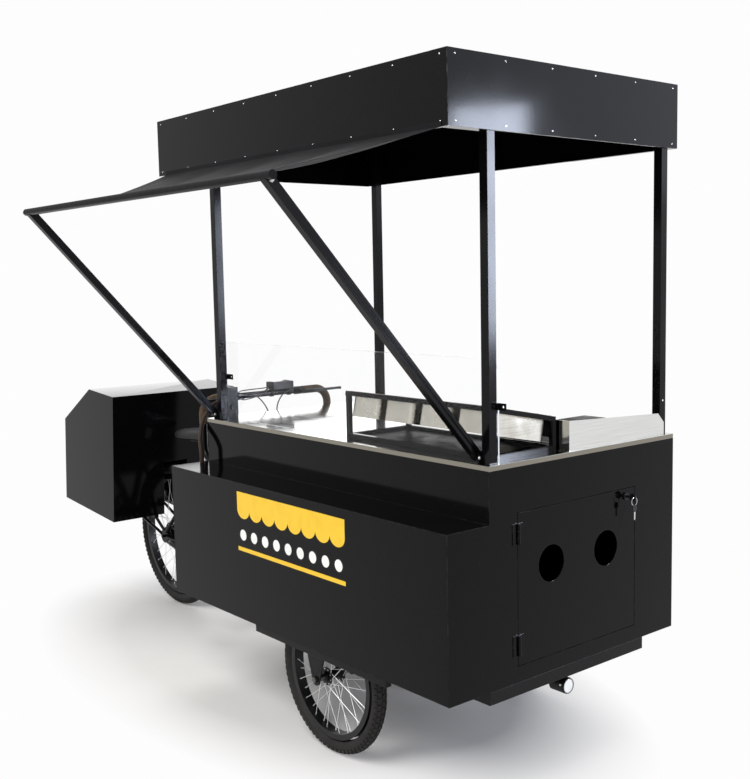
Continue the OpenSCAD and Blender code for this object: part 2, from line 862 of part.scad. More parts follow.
module swept(points, d, sides, steps) {
  path = smooth(points, steps);
  frames = carried(path, 0, [0.3, 0.9, 0.2]);
  rings = [for (i = [0:len(path) - 1], k = [0:sides - 1])
    path[i] + d / 2 * (cos(360 * k / sides) * frames[i][0] + sin(360 * k / sides) * frames[i][1])];
  last = (len(path) - 1) * sides;
  quads = [for (i = [0:len(path) - 2], k = [0:sides - 1]) [i * sides + k, i * sides + (k + 1) % sides]];
  polyhedron(rings, concat(
    [for (k = [1:sides - 2]) [0, k, k + 1]],
    [for (k = [1:sides - 2]) [last, last + k + 1, last + k]],
    [for (q = quads) [q[0], q[0] + sides, q[1] + sides]],
    [for (q = quads) [q[0], q[1] + sides, q[1]]]));
}

module brake_cables() {
  cable_d = 5;
  color("#2c2f36") placed() at_bar() for (side = [0, 1]) mirror([0, side, 0])
    swept(cable_route, cable_d, 8, 3);
}

module cable_loom() {
  loom_d = 17;
  from_box = [for (p = loom_route) p + [switch_low[0], counter_y, 0]];
  color("#5a4130") placed() translate([0, 0, counter_h]) swept(from_box, loom_d, 10, 3);
}

// Lamp
module at_lamp() {
  translate([body_l - lens_t - lamp_back, lamp_y, chassis_low - lamp_drop - lamp_r]) children();
}

module headlamp_housing() {
  bracket = [18, 16];
  color("#151517") placed() {
    at_lamp() along_x(-lamp_l, 0, lamp_r);
    at_lamp() translate([-lamp_l / 2 - bracket[0] / 2, -bracket[1] / 2, 0])
      cube([bracket[0], bracket[1], lamp_r + lamp_drop]);
  }
}

module headlamp_lens() {
  color("whitesmoke") placed() at_lamp() along_x(0, lens_t, lamp_r - lens_rim);
}

// Doors
module front_door() {
  color("#1b1b1d") placed() at_front_hinge() difference() {
    door_plate(door_w, door_h);
    for (side = [-1, 1])
      translate([0, (door_gap + door_w + side * vent_pitch) / 2, door_h / 2 - vent_drop])
        along_x(-sheet - cut, cut, vent_d / 2);
    translate([0, lock_y, lock_z]) along_x(-sheet - cut, cut, lock_r + fit);
  }
}

module door_lock() {
  head_r = 12;
  head_t = 5;
  barrel_l = 22;
  cam = [3, 14, lock_inset + 12];
  blade_t = 2.5;
  blade_h = 8;
  bow_r = 12;
  color("silver") placed() at_front_hinge() translate([0, lock_y, lock_z]) {
    along_x(-barrel_l, near, lock_r);
    along_x(near, head_t, head_r);
    translate([-barrel_l - cam[0], -cam[1] / 2, -cam[2]])
      cube([cam[0], cam[1], cam[2] + cam[1] / 2]);
    translate([head_t, -blade_t / 2, -blade_h / 2])
      cube([key_reach - head_t - bow_r, blade_t, blade_h]);
    difference() {
      translate([key_reach - bow_r, 0, 0]) along_y(-blade_t / 2, blade_t / 2, bow_r);
      translate([key_reach - bow_r / 2, 0, 0]) along_y(-blade_t, blade_t, bow_r / 4);
    }
  }
}

module operator_door(side) {
  pull = [pull_out, 12, 110];
  color("#1b1b1d") placed() at_operator_hinge(side) {
    door_plate(operator_door_w, operator_door_h);
    translate([0, operator_door_w - pull_in, -pull[2] / 2]) difference() {
      translate([-weld, 0, 0]) cube(pull + [weld, 0, 0]);
      translate([-cut, -cut, pull_end])
        cube([pull[0] - pull_bar + cut, pull[1] + 2 * cut, pull[2] - 2 * pull_end]);
    }
  }
}

module operator_door_front() {
  operator_door(1);
}

module operator_door_rear() {
  operator_door(-1);
}

// Awning
module awning_arms() {
  color("#222224") placed() for (x = arm_x) translate([x, pivot_y, pivot_z]) rotate([arm_lean, 0, 0])
  difference() {
    union() {
      translate([0, -arm / 2, 0]) cube([arm, arm, arm_l]);
      along_x(0, arm, arm / 2);
    }
    along_x(-cut, arm + cut, arm_bolt_d / 2 + fit);
    translate([0, 0, arm_l]) along_x(-cut, arm + cut, awning_bar_d / 2 + fit);
  }
}

module awning_bar() {
  color("#222224") placed() translate([0, bar_y, bar_z])
    along_x(cloth_x[0], cloth_x[1], awning_bar_d / 2);
}

// The cloth runs from the roof's lower edge to the bar and wraps round it, with a sag and shallow folds
function cloth_dip(s, t) =
  4 * s * (1 - s) * (cloth_sag + fold_depth * sin(360 * fold_count * t + 120 * s));
function cloth_line(t) = concat(
  [cloth_top],
  [for (i = [0:cloth_steps - 1]) let (s = i / cloth_steps)
    cloth_top - [0, cloth_hem] + s * (cloth_low - cloth_top + [0, cloth_hem]) - [0, cloth_dip(s, t)]],
  [for (i = [0:wrap_steps]) let (a = wrap_from + (wrap_to - wrap_from) * i / wrap_steps)
    [bar_y, bar_z] + wrap_r * [cos(a), sin(a)]]);
function cloth_out(line, i) = let (h = heading([for (p = line) [p[0], p[1], 0]], i)) [h[1], -h[0]];

module awning_cloth() {
  rows = cloth_steps + wrap_steps + 2;
  lines = [for (c = [0:fold_columns]) cloth_line(c / fold_columns)];
  points = [for (side = [-1, 1], c = [0:fold_columns], r = [0:rows - 1])
    let (p = lines[c][r] + side * cloth / 2 * cloth_out(lines[c], r),
      x = cloth_x[0] + (cloth_x[1] - cloth_x[0]) * c / fold_columns) [x, p[0], p[1]]];
  half = (fold_columns + 1) * rows;
  quads = concat(
    [for (c = [0:fold_columns - 1], r = [0:rows - 2]) let (i = c * rows + r)
      [i, i + 1, i + rows + 1, i + rows]],
    [for (c = [0:fold_columns - 1], r = [0:rows - 2]) let (i = half + c * rows + r)
      [i, i + rows, i + rows + 1, i + 1]],
    [for (c = [0:fold_columns - 1], r = [0, rows - 1]) let (i = c * rows + r, j = i + rows)
      r == 0 ? [i, j, j + half, i + half] : [j, i, i + half, j + half]],
    [for (r = [0:rows - 2], c = [0, fold_columns]) let (i = c * rows + r, j = i + 1)
      c == 0 ? [j, i, i + half, j + half] : [i, j, j + half, i + half]]);
  color("#3b3c40") placed() polyhedron(points,
    [for (q = quads, k = [0, 1]) k == 0 ? [q[0], q[1], q[2]] : [q[0], q[2], q[3]]]);
}

// Wheels, made on their own axis along Y
module tyre(r, w, bead) {
  wall = 5;
  rotate([90, 0, 0]) rotate_extrude($fn = 96) difference() {
    translate([r - w / 2, 0]) circle(w / 2);
    translate([r - w / 2, 0]) circle(w / 2 - wall);
    translate([0, -w]) square([bead, 2 * w]);
  }
}

module rim(bead) {
  wall = 3;
  rotate([90, 0, 0]) rotate_extrude($fn = 96) difference() {
    translate([bead - rim_t, -rim_w / 2]) square([rim_t - fit, rim_w]);
    translate([bead - rim_t + wall, -rim_w / 2 + wall]) square([rim_t, rim_w - 2 * wall]);
  }
}

module spoke_set(hub_r, hub_y, bead) {
  inner = hub_r - 2 * spoke_r;
  outer = bead - rim_t - near;
  for (i = [0:spokes - 1]) rotate([0, 360 * i / spokes, 0])
    rod([inner, (i % 2 * 2 - 1) * hub_y, 0], [outer, (i % 2 * 2 - 1) * rim_w / 5, 0], 2 * spoke_r);
}

module front_hub() {
  shell_r = 17;
  flange_r = 29;
  flange_y = 26;
  flange_t = 5;
  difference() {
    union() {
      along_y(-hub_half, hub_half, shell_r);
      for (y = [-flange_y - flange_t / 2, flange_y - flange_t / 2]) along_y(y, y + flange_t, flange_r);
      spoke_set(flange_r, flange_y, front_bead);
    }
    along_y(-2 * hub_half, 2 * hub_half, front_axle_d / 2 + fit);
  }
}

module at_front_wheel(side) {
  placed() translate([front_x, side * front_y, front_r]) children();
}

module front_tyre_left() {
  color("#141415") at_front_wheel(1) tyre(front_r, front_tyre_w, front_bead);
}

module front_rim_left() {
  color("#1d1d1f") at_front_wheel(1) rim(front_bead);
}

module front_hub_left() {
  color("silver") at_front_wheel(1) front_hub();
}

module front_tyre_right() {
  color("#141415") at_front_wheel(-1) tyre(front_r, front_tyre_w, front_bead);
}

module front_rim_right() {
  color("#1d1d1f") at_front_wheel(-1) rim(front_bead);
}

module front_hub_right() {
  color("silver") at_front_wheel(-1) front_hub();
}

module hanger_plate(y, top) {
  eye_r = 20;
  top_w = 90;
  translate([0, y + plate_t, 0]) rotate([90, 0, 0]) linear_extrude(plate_t) difference() {
    union() {
      translate([front_x, front_r]) circle(eye_r);
      polygon([[front_x - eye_r, front_r], [front_x + eye_r, front_r], [front_x + top_w / 2, top],
        [front_x - top_w / 2, top]]);
    }
    translate([front_x, front_r]) circle(front_axle_d / 2 + fit);
  }
}

module wheel_hangers() {
  x0 = front_x + hanger_shift - hanger_l / 2;
  color("#1b1b1d") placed() for (side = [0, 1]) mirror([0, side, 0]) {
    box([x0, body_w / 2 - hanger, body_bottom - hanger], [x0 + hanger_l, body_w / 2, body_bottom]);
    hanger_plate(outer_plate_y, body_bottom - hanger);
    hanger_plate(inner_plate_y, body_bottom);
  }
}

module front_axles() {
  collar_r = 10;
  nut_t = 8;
  y0 = inner_plate_y + plate_t - front_y;
  y1 = outer_plate_y - front_y;
  color("silver") placed() for (side = [0, 1]) mirror([0, side, 0]) translate([front_x, front_y, front_r]) {
    along_y(y0 - plate_t, y1 + plate_t + nut_t, front_axle_d / 2);
    along_y(y0, -hub_half - near, collar_r);
    along_y(hub_half + near, y1, collar_r);
    translate([0, y1 + plate_t, 0]) rotate([-90, 0, 0]) cylinder(r = collar_r, h = nut_t, $fn = 6);
  }
}

// Bicycle half
module steering_yoke() {
  back_t = 8;
  edge = 15;
  low = yoke_z[0] - yoke_t;
  high = yoke_z[1] + yoke_t;
  color("#1b1b1d") placed() {
    box([-back_t, -yoke_w / 2, low - edge], [0, yoke_w / 2, high + edge]);
    for (z = [low, yoke_z[1]]) translate([0, 0, z]) linear_extrude(yoke_t) {
      translate([pin_x, 0]) circle(yoke_w / 2);
      translate([pin_x, -yoke_w / 2]) square([-pin_x, yoke_w]);
    }
    translate([pin_x, 0, low]) cylinder(d = pin_d, h = high - low);
  }
}

module at_box() {
  translate([-box_x, 0, box_z]) rotate([0, box_pitch, 0]) children();
}

function box_place(u, y, w) =
  [-box_x - u * cos(box_pitch) + w * sin(box_pitch), y, box_z + u * sin(box_pitch) + w * cos(box_pitch)];

module bike_frame() {
  seat_tube_d = seat_post_d + 7;
  shell_r = 24;
  shell_y = 36;
  bridge_y = 32;
  bridge_r = stay_d / 2 + 2;
  stay_in = 26;
  bore_l = 230;
  bore_end = 5;
  collar_l = 22;
  collar_t = 4;
  stay_top = seat_top - (collar_l + 3) * seat_dir;
  stay_root = [-16, 0, 2];
  drop_r = 32;
  axle_end = 14;
  rail_from = 20;
  rail_to = box_l - 40;
  strut_d = stay_d - 2;
  strut_front = 40;
  strut_rear = rail_to - 120;
  rail_mid = -rack_rail / 2;
  color("#1b1b1d") placed() difference() {
    union() {
      translate([pin_x, 0, yoke_z[0] + yoke_gap]) cylinder(r = head_r, h = yoke_l - 2 * yoke_gap);
      rod([pin_x, 0, (yoke_z[0] + yoke_z[1]) / 2], crank_at, tube_d);
      translate(crank_at) along_y(-shell_y, shell_y, shell_r);
      rod(crank_at, seat_top, seat_tube_d);
      rod(seat_top - collar_l * seat_dir, seat_top, seat_tube_d + 2 * collar_t);
      translate(stay_top) along_y(-bridge_y - bridge_r, bridge_y + bridge_r, bridge_r);
      translate(axle_at) along_y(-drop_y - drop_t - axle_end, drop_y + drop_t + axle_end, rear_axle_d / 2);
      for (side = [0, 1]) mirror([0, side, 0]) {
        translate(axle_at) along_y(drop_y, drop_y + drop_t, drop_r);
        rod(crank_at + stay_root + [0, stay_in, 0], axle_at + [23, drop_mid, 0], stay_d);
        rod(stay_top + [0, bridge_y, 0], axle_at + [15, drop_mid, 20], stay_d);
        at_box() box([-rail_to, rack_rail_y - rack_rail / 2, -rack_rail],
          [-rail_from, rack_rail_y + rack_rail / 2, 0]);
        rod(axle_at + [-6, drop_mid, 26], box_place(strut_front, rack_rail_y, rail_mid), strut_d);
        rod(axle_at + [-27, drop_mid, 6], box_place(strut_rear, rack_rail_y, rail_mid), strut_d);
      }
    }
    translate([pin_x, 0, yoke_z[0] - cut]) cylinder(d = pin_d + 2 * fit, h = yoke_l + 2 * cut);
    translate(crank_at) along_y(-2 * shell_y, 2 * shell_y, spindle_r + fit);
    rod(seat_top - bore_l * seat_dir, seat_top + bore_end * seat_dir, seat_post_d + 2 * fit);
  }
}

module seat_post() {
  inside = 180;
  head_l = 40;
  head_w = 44;
  rail_y = 22;
  rail_z = seat_head_h / 2 - seat_rail_d / 4;
  top = seat_top + seat_up * seat_dir;
  color("silver") placed() {
    rod(seat_top - inside * seat_dir, top, seat_post_d);
    translate(top - [head_l, head_w, seat_head_h] / 2) cube([head_l, head_w, seat_head_h]);
    for (side = [-1, 1])
      translate(top + [saddle_shift - saddle_l / 3, side * rail_y, rail_z])
        along_x(0, saddle_l * 2 / 3, seat_rail_d / 2);
  }
}

// The saddle, lofted from its nose to its tail with a crowned top and drawn-in sides
function saddle_half(s) =
  nose_w / 2 + (saddle_w - nose_w) / 2 * pow(sin(90 * min(1, max(0, s * 1.35 - 0.3))), 1.6);
function saddle_end(s) = pow(max(0.02, 1 - pow(abs(2 * s - 1), 8)), 0.5);

module saddle() {
  crown = saddle_t * 0.6;
  belly = saddle_t - crown;
  base = seat_head_h / 2 + seat_rail_d / 4 + near;
  at = seat_top + seat_up * seat_dir + [saddle_shift + saddle_l / 2, 0, base + belly];
  points = [for (i = [0:saddle_rings], k = [0:saddle_sides - 1])
    let (s = i / saddle_rings, a = 360 * k / saddle_sides, up = sin(a) > 0)
    let (w = saddle_half(s) * saddle_end(s))
    [-s * saddle_l, w * sign(cos(a)) * pow(abs(cos(a)), up ? 0.8 : 0.7),
      up ? crown * saddle_end(s) * pow(sin(a), 0.7) * (0.82 + 0.18 * s) : -belly * pow(-sin(a), 0.3)]];
  n = saddle_sides;
  last = saddle_rings * n;
  quads = [for (i = [0:saddle_rings - 1], k = [0:n - 1]) [i * n + k, i * n + (k + 1) % n]];
  color("#151517") placed() translate(at) polyhedron(points, concat(
    [for (k = [1:n - 2]) [0, k + 1, k]],
    [for (k = [1:n - 2]) [last, last + k, last + k + 1]],
    [for (q = quads) [q[0], q[1] + n, q[0] + n]],
    [for (q = quads) [q[0], q[1], q[1] + n]]));
}

// A belt outline round the chainring and the cog, grown past their pitch radii
module chain_outline(grow) {
  a = [crank_at[0], crank_at[2]];
  b = [axle_at[0], axle_at[2]];
  base = atan2(b[1] - a[1], b[0] - a[0]);
  spread = acos((ring_r - cog_r) / norm(b - a));
  translate(a) circle(ring_r + grow, $fn = 72);
  translate(b) circle(cog_r + grow, $fn = 48);
  polygon([for (q = [[a, ring_r, 1], [a, ring_r, -1], [b, cog_r, -1], [b, cog_r, 1]])
    q[0] + (q[1] + grow) * [cos(base + q[2] * spread), sin(base + q[2] * spread)]]);
}

module chain() {
  color("#6d6d70") placed() translate([0, chain_y + chain_w / 2, 0]) rotate([90, 0, 0])
    linear_extrude(chain_w) difference() {
      chain_outline(chain_t + near);
      chain_outline(near);
    }
}

module crank_arm(side) {
  arm_w = 26;
  pin_l = pedal[1] + 4;
  cap = 3;
  mirror([0, side > 0 ? 0 : 1, 0]) {
    translate([0, crank_y, -arm_w / 2]) cube([crank_l, crank_t, arm_w]);
    along_y(crank_y, crank_y + crank_t, arm_w / 2);
    translate([crank_l, 0, 0]) {
      along_y(crank_y, crank_y + crank_t, arm_w / 2);
      along_y(crank_y + crank_t, crank_y + crank_t + pin_l, pedal_pin_r);
      along_y(crank_y + crank_t + pin_l, crank_y + crank_t + pin_l + cap, pedal_pin_r + cap);
    }
  }
}

module crankset() {
  web_r = 52;
  boss_r = 22;
  ring_t = 3;
  color("#333336") placed() translate(crank_at) {
    along_y(-crank_y - crank_t, crank_y + crank_t, spindle_r);
    along_y(-crank_y, chain_y, boss_r);
    for (side = [0, 1]) rotate([0, crank_angle + 180 * side, 0]) crank_arm(side * 2 - 1);
    difference() {
      along_y(chain_y - ring_t / 2, chain_y + ring_t / 2, ring_r);
      for (i = [0:4]) rotate([0, 72 * i, 0]) translate([web_r, 0, 0]) along_y(2 * chain_y, 0, boss_r - 2);
    }
  }
}

function pedal_place(side) =
  crank_at + (side > 0 ? -1 : 1) * crank_l * [cos(crank_angle), 0, -sin(crank_angle)];

module bike_pedal(side) {
  gap = 2;
  window = 24;
  window_out = 4;
  end_w = 12;
  color("#1a1a1b") placed() translate(pedal_place(side)) mirror([0, side > 0 ? 0 : 1, 0])
    translate([0, crank_y + crank_t + gap, 0]) difference() {
      translate([-pedal[0] / 2, 0, -pedal[2] / 2]) cube(pedal);
      along_y(-cut, pedal[1] + cut, pedal_pin_r + fit);
      for (x = [-1, 1]) translate([x * (pedal[0] / 4 + window_out) - window / 2, end_w, -pedal[2]])
        cube([window, pedal[1] - 2 * end_w, 2 * pedal[2]]);
    }
}

module pedal_left() {
  bike_pedal(1);
}

module pedal_right() {
  bike_pedal(-1);
}

module at_axle() {
  placed() translate(axle_at) children();
}

module rear_tyre() {
  color("#141415") at_axle() tyre(rear_r, rear_tyre_w, rear_bead);
}

module rear_rim() {
  color("#1d1d1f") at_axle() rim(rear_bead);
}

module rear_hub() {
  boss_r = 20;
  cog_t = 3;
  spoke_in = 6;
  color("#2a2a2c") at_axle() difference() {
    union() {
      along_y(-motor_half, motor_half, motor_r);
      along_y(-drop_y + yoke_gap, drop_y - yoke_gap, boss_r);
      along_y(chain_y - cog_t / 2, chain_y + cog_t / 2, cog_r);
      spoke_set(motor_r, motor_half - spoke_in, rear_bead);
    }
    along_y(-2 * drop_y, 2 * drop_y, rear_axle_d / 2 + fit);
  }
}

// Rear box
module box_outline(t) {
  turn = t * tan(box_slant / 2);
  drop = tan(box_slant) * (box_l - box_top_l - t * (1 - sin(box_slant)));
  polygon([[-t, t], [-t, box_h - t], [-box_top_l + turn, box_h - t],
    [-box_l + t, box_h - cos(box_slant) * t - drop], [-box_l + t, t]]);
}

module box_solid(t) {
  translate([0, box_w / 2 - t, 0]) rotate([90, 0, 0]) linear_extrude(box_w - 2 * t) box_outline(t);
}

module at_lid_hinge() {
  at_box() translate([-box_top_l - lid_margin * cos(box_slant), 0, box_h - lid_margin * sin(box_slant)])
    rotate([0, -(90 + box_slant), 0]) rotate([90, 0, 0]) children();
}

module rear_box() {
  half = slot_w / 2;
  color("#1b1b1d") placed() {
    difference() {
      at_box() box_solid(0);
      at_box() box_solid(sheet);
      at_box() box([-tunnel_l, -half, -cut], [cut, half, tunnel_h]);
      at_lid_hinge() translate([-2 * sheet, -door_gap / 2, -lid_w / 2 - door_gap])
        cube([4 * sheet, lid_l + 2 * door_gap, lid_w + 2 * door_gap]);
    }
    at_box() {
      for (y = [-half - sheet, half]) box([-tunnel_l - sheet, y, 0], [0, y + sheet, tunnel_h + sheet]);
      box([-tunnel_l - sheet, -half, tunnel_h], [0, half, tunnel_h + sheet]);
      box([-tunnel_l - sheet, -half, 0], [-tunnel_l, half, tunnel_h]);
    }
    at_lid_hinge() door_hinges(lid_w) hinge_fixed();
  }
}

module rear_box_lid() {
  color("#1b1b1d") placed() at_lid_hinge() door_plate(lid_l, lid_w);
}

module food_pan_1() {
  food_pan(1);
}

module food_pan_2() {
  food_pan(2);
}

module food_pan_3() {
  food_pan(3);
}

module food_pan_4() {
  food_pan(4);
}

chassis_frame();
floor_panel();
front_panel();
rear_panel();
serving_panel();
serving_shelf();
operator_panel();
wheel_housings();
countertop();
roof_posts();
roof_panel();
roof_fascia();
post_brackets();
sneeze_guard();
pan_rack();
drip_tray();
griddle_plate();
splash_guard();
handlebar();
handlebar_grips();
control_unit();
switch_box();
brake_cables();
cable_loom();
headlamp_housing();
headlamp_lens();
wheel_hangers();
front_axles();
steering_yoke();
front_door();
door_lock();
operator_door_front();
operator_door_rear();
awning_arms();
awning_bar();
awning_cloth();
brake_lever_left();
brake_lever_right();
front_tyre_left();
front_rim_left();
front_hub_left();
front_tyre_right();
front_rim_right();
front_hub_right();
bike_frame();
rear_box();
rear_box_lid();
chain();
saddle();
seat_post();
rear_tyre();
rear_rim();
rear_hub();
crankset();
pedal_left();
pedal_right();
food_pan_1();
food_pan_2();
food_pan_3();
food_pan_4();
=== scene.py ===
"""Looks of a bicycle food cart: its finishes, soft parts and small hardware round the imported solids.

Metres, in the part's own frame: +X is the way the cart rides, -Y the serving side and +Z up.
"""

import json
import logging
import math
from dataclasses import dataclass, field, replace
from enum import Enum
from typing import Callable, Iterable, Sequence

import bmesh
import bpy
from mathutils import Matrix, Vector, noise


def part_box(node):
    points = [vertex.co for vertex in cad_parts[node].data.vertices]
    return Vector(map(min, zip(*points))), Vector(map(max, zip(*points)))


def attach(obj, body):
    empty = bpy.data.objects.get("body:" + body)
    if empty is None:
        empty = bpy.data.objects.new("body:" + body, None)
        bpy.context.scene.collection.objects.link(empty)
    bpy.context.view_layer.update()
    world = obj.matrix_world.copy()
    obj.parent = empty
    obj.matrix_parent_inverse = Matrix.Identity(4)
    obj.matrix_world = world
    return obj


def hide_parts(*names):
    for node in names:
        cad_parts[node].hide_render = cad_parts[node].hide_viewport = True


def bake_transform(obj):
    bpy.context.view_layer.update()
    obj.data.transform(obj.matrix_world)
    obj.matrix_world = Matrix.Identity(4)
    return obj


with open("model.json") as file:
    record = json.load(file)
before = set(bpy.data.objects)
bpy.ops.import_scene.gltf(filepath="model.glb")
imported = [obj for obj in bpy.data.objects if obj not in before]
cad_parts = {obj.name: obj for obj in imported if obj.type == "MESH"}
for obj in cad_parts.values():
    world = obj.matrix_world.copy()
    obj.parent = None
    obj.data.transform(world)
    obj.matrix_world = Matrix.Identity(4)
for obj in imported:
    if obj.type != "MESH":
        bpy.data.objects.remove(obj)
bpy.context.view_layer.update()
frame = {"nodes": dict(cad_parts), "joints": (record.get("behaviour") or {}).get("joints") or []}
LOG = logging.getLogger("food_cart")

Tree = bpy.types.NodeTree
Node = bpy.types.Node
Socket = bpy.types.NodeSocket
Thing = bpy.types.Object
Points = Sequence[Vector]
Profile = Sequence[tuple[float, float]]

MM = 0.001
AHEAD = Vector((1, 0, 0))
ACROSS = Vector((0, 1, 0))
UP = Vector((0, 0, 1))
SQUARE = ((-1, -1), (1, -1), (1, 1), (-1, 1))


class Grain(Enum):
    """Which way a metal was brushed, as the stretch of its pattern along X, Y and Z."""

    ALONG_X = (0.02, 1.0, 1.0)
    ALONG_Y = (1.0, 0.02, 1.0)
    EVEN = (1.0, 1.0, 1.0)


# Materials


def linear(code: str) -> tuple[float, float, float, float]:
    """Turns an sRGB hex value into a linear colour.

    Args:
        code: The colour as "#rrggbb".

    Returns:
        Red, green, blue and alpha in linear light.
    """
    parts = [int(code[i : i + 2], 16) / 255 for i in (1, 3, 5)]
    red, green, blue = [c / 12.92 if c <= 0.04045 else ((c + 0.055) / 1.055) ** 2.4 for c in parts]
    return red, green, blue, 1.0


def per_metre(size_mm: float) -> float:
    """Pattern scale whose cells are size_mm wide."""
    return 1 / (size_mm * MM)


def feed(node: Node, name: str | int, value: object) -> None:
    """Links a socket into one of a node's inputs, or sets the input to a value.

    Args:
        node: The node.
        name: Name or number of the input.
        value: The socket or the value.
    """
    if isinstance(value, Socket):
        node.id_data.links.new(value, node.inputs[name])
    else:
        node.inputs[name].default_value = value


def add(tree: Tree, kind: str, inputs: dict | None = None, **settings) -> Node:
    """Adds a node with its settings, socket values and links.

    Args:
        tree: The tree that gets the node.
        kind: The node's type.
        inputs: A value, or the socket that is linked in, for each named or numbered input.
        **settings: Attributes of the node.

    Returns:
        The new node.
    """
    node = tree.nodes.new(kind)
    for name, value in settings.items():
        setattr(node, name, value)
    for name, value in (inputs or {}).items():
        feed(node, name, value)
    return node


def new_material(name: str) -> tuple[bpy.types.Material, Node]:
    """A new material with nodes, and its Principled shader."""
    made = bpy.data.materials.new(name)
    made.use_nodes = True
    return made, made.node_tree.nodes["Principled BSDF"]


def noise_at(tree: Tree, place: Socket, size_mm: float, detail: float = 3.0) -> Socket:
    """Noise at coordinates in metres, with cells size_mm wide and octaves of finer detail."""
    inputs = {"Vector": place, "Scale": per_metre(size_mm), "Detail": detail}
    return add(tree, "ShaderNodeTexNoise", inputs).outputs["Fac"]


def spread(
    tree: Tree, value: Socket, low: float, high: float, start: float = 0.3, end: float = 0.7
) -> Socket:
    """Maps a pattern from start..end onto low..high."""
    inputs = {"Value": value, "From Min": start, "From Max": end, "To Min": low, "To Max": high}
    return add(tree, "ShaderNodeMapRange", inputs).outputs["Result"]


def mixed(tree: Tree, factor: Socket, first: object, second: object) -> Socket:
    """Mixes two colours or their sockets, with factor as the share of the second."""
    node = add(tree, "ShaderNodeMix", {0: factor, 6: first, 7: second}, data_type="RGBA")
    return node.outputs[2]


def bumped(tree: Tree, height: Socket, depth_mm: float) -> Socket:
    """Normal of a surface whose relief, from 0 to 1, is depth_mm deep."""
    inputs = {"Height": height, "Distance": depth_mm * MM, "Strength": 1.0}
    return add(tree, "ShaderNodeBump", inputs).outputs["Normal"]


def times(tree: Tree, first: Socket, second: Socket | float) -> Socket:
    """Product of two values."""
    return add(tree, "ShaderNodeMath", {0: first, 1: second}, operation="MULTIPLY").outputs[0]


def vector_math(tree: Tree, operation: str, first: Socket, second: object = None) -> Node:
    """Adds a node that works on one vector or two, given as values or sockets."""
    inputs = {0: first} if second is None else {0: first, 1: second}
    return add(tree, "ShaderNodeVectorMath", inputs, operation=operation)


@dataclass(frozen=True)
class Finish:
    """A finish: the name of its material, the record's slot and the plain numbers of its surface."""

    name: str
    slot: str
    colour: str
    second: str
    roughness: float
    metallic: float = 0.0
    specular: float = 0.5

    def material(self) -> bpy.types.Material:
        """Makes the finish's material once.

        Returns:
            The material, new or already there.
        """
        known = bpy.data.materials.get(self.name)
        if known:
            return known
        made, shader = new_material(self.name)
        feed(shader, "Base Color", linear(self.colour))
        feed(shader, "Roughness", self.roughness)
        feed(shader, "Metallic", self.metallic)
        feed(shader, "Specular IOR Level", self.specular)
        place = add(made.node_tree, "ShaderNodeTexCoord").outputs["Object"]
        self.dress(made.node_tree, shader, place)
        return made

    def tones(self, tree: Tree, share: Socket) -> Socket:
        """The finish's colour, with a share of its second one."""
        return mixed(tree, share, linear(self.colour), linear(self.second))

    def dress(self, tree: Tree, shader: Node, place: Socket) -> None:
        """Links the finish's patterns to the shader.

        Args:
            tree: The material's tree.
            shader: Its Principled shader.
            place: Coordinates in metres.
        """
        raise NotImplementedError


@dataclass(frozen=True)
class PaintedSteel(Finish):
    """Sprayed enamel on sheet steel: orange peel in its gloss, dust on it, and a paler colour in patches on
    its edges, which is worn-through metal and, on the fascia, also painted highlight.
    """

    peel_mm: float = 9.0
    peel_depth_mm: float = 0.02
    haze_mm: float = 240.0
    speck_mm: float = 5.0
    dust: float = 0.08
    dust_colour: str = "#8d8c88"
    edge_mm: float = 1.5
    rub_mm: float = 28.0
    edge_wear_and_highlight: float = 0.5

    def dress(self, tree: Tree, shader: Node, place: Socket) -> None:
        """Links peel, dust and the paler edges of worn paint and painted highlight, as Finish.dress says."""
        peel = noise_at(tree, place, self.peel_mm, 1.0)
        haze = noise_at(tree, place, self.haze_mm)
        specks = spread(tree, noise_at(tree, place, self.speck_mm, 0.0), 0.0, 1.0, 0.68, 0.78)
        rounded = add(tree, "ShaderNodeBevel", {"Radius": self.edge_mm * MM}, samples=4).outputs["Normal"]
        flat = add(tree, "ShaderNodeNewGeometry").outputs["Normal"]
        bend = vector_math(tree, "DOT_PRODUCT", rounded, flat).outputs["Value"]
        edge = spread(tree, bend, 1.0, 0.0, 0.75, 0.97)
        # Paler patches on the edges: worn-through paint, and on the fascia painted highlight as well.
        wear_and_highlight_patches = spread(tree, noise_at(tree, place, self.rub_mm, 5.0), 0.0, self.edge_wear_and_highlight, 0.46, 0.62)
        worn_and_highlit_edges = times(tree, edge, wear_and_highlight_patches)
        dusty = times(tree, specks, self.dust)
        dulled = mixed(tree, dusty, linear(self.colour), linear(self.dust_colour))
        feed(shader, "Base Color", mixed(tree, worn_and_highlit_edges, dulled, linear(self.second)))
        rough = spread(tree, haze, self.roughness, self.roughness * 1.6)
        feed(shader, "Roughness", rough)
        feed(shader, "Normal", bumped(tree, peel, self.peel_depth_mm))


@dataclass(frozen=True)
class BareMetal(Finish):
    """Brushed, ground or plated metal: fine lines or grit in its gloss, and smudges of handling."""

    grain: Grain = Grain.EVEN
    line_mm: float = 3.0
    line_depth_mm: float = 0.006
    smudge_mm: float = 90.0
    smudge: float = 0.5

    def dress(self, tree: Tree, shader: Node, place: Socket) -> None:
        """Links brush lines and smudges, as Finish.dress says."""
        stretched = add(tree, "ShaderNodeMapping", {"Vector": place, "Scale": self.grain.value}).outputs[0]
        lines = noise_at(tree, stretched, self.line_mm, 4.0)
        smudges = noise_at(tree, place, self.smudge_mm, 4.0)
        tone = self.tones(tree, spread(tree, lines, 0.0, 0.6))
        marked = spread(tree, smudges, 0.0, self.smudge, 0.5, 0.75)
        feed(shader, "Base Color", mixed(tree, marked, tone, linear(self.second)))
        rough = spread(tree, smudges, self.roughness * 0.7, self.roughness * 1.6)
        feed(shader, "Roughness", rough)
        feed(shader, "Normal", bumped(tree, lines, self.line_depth_mm))


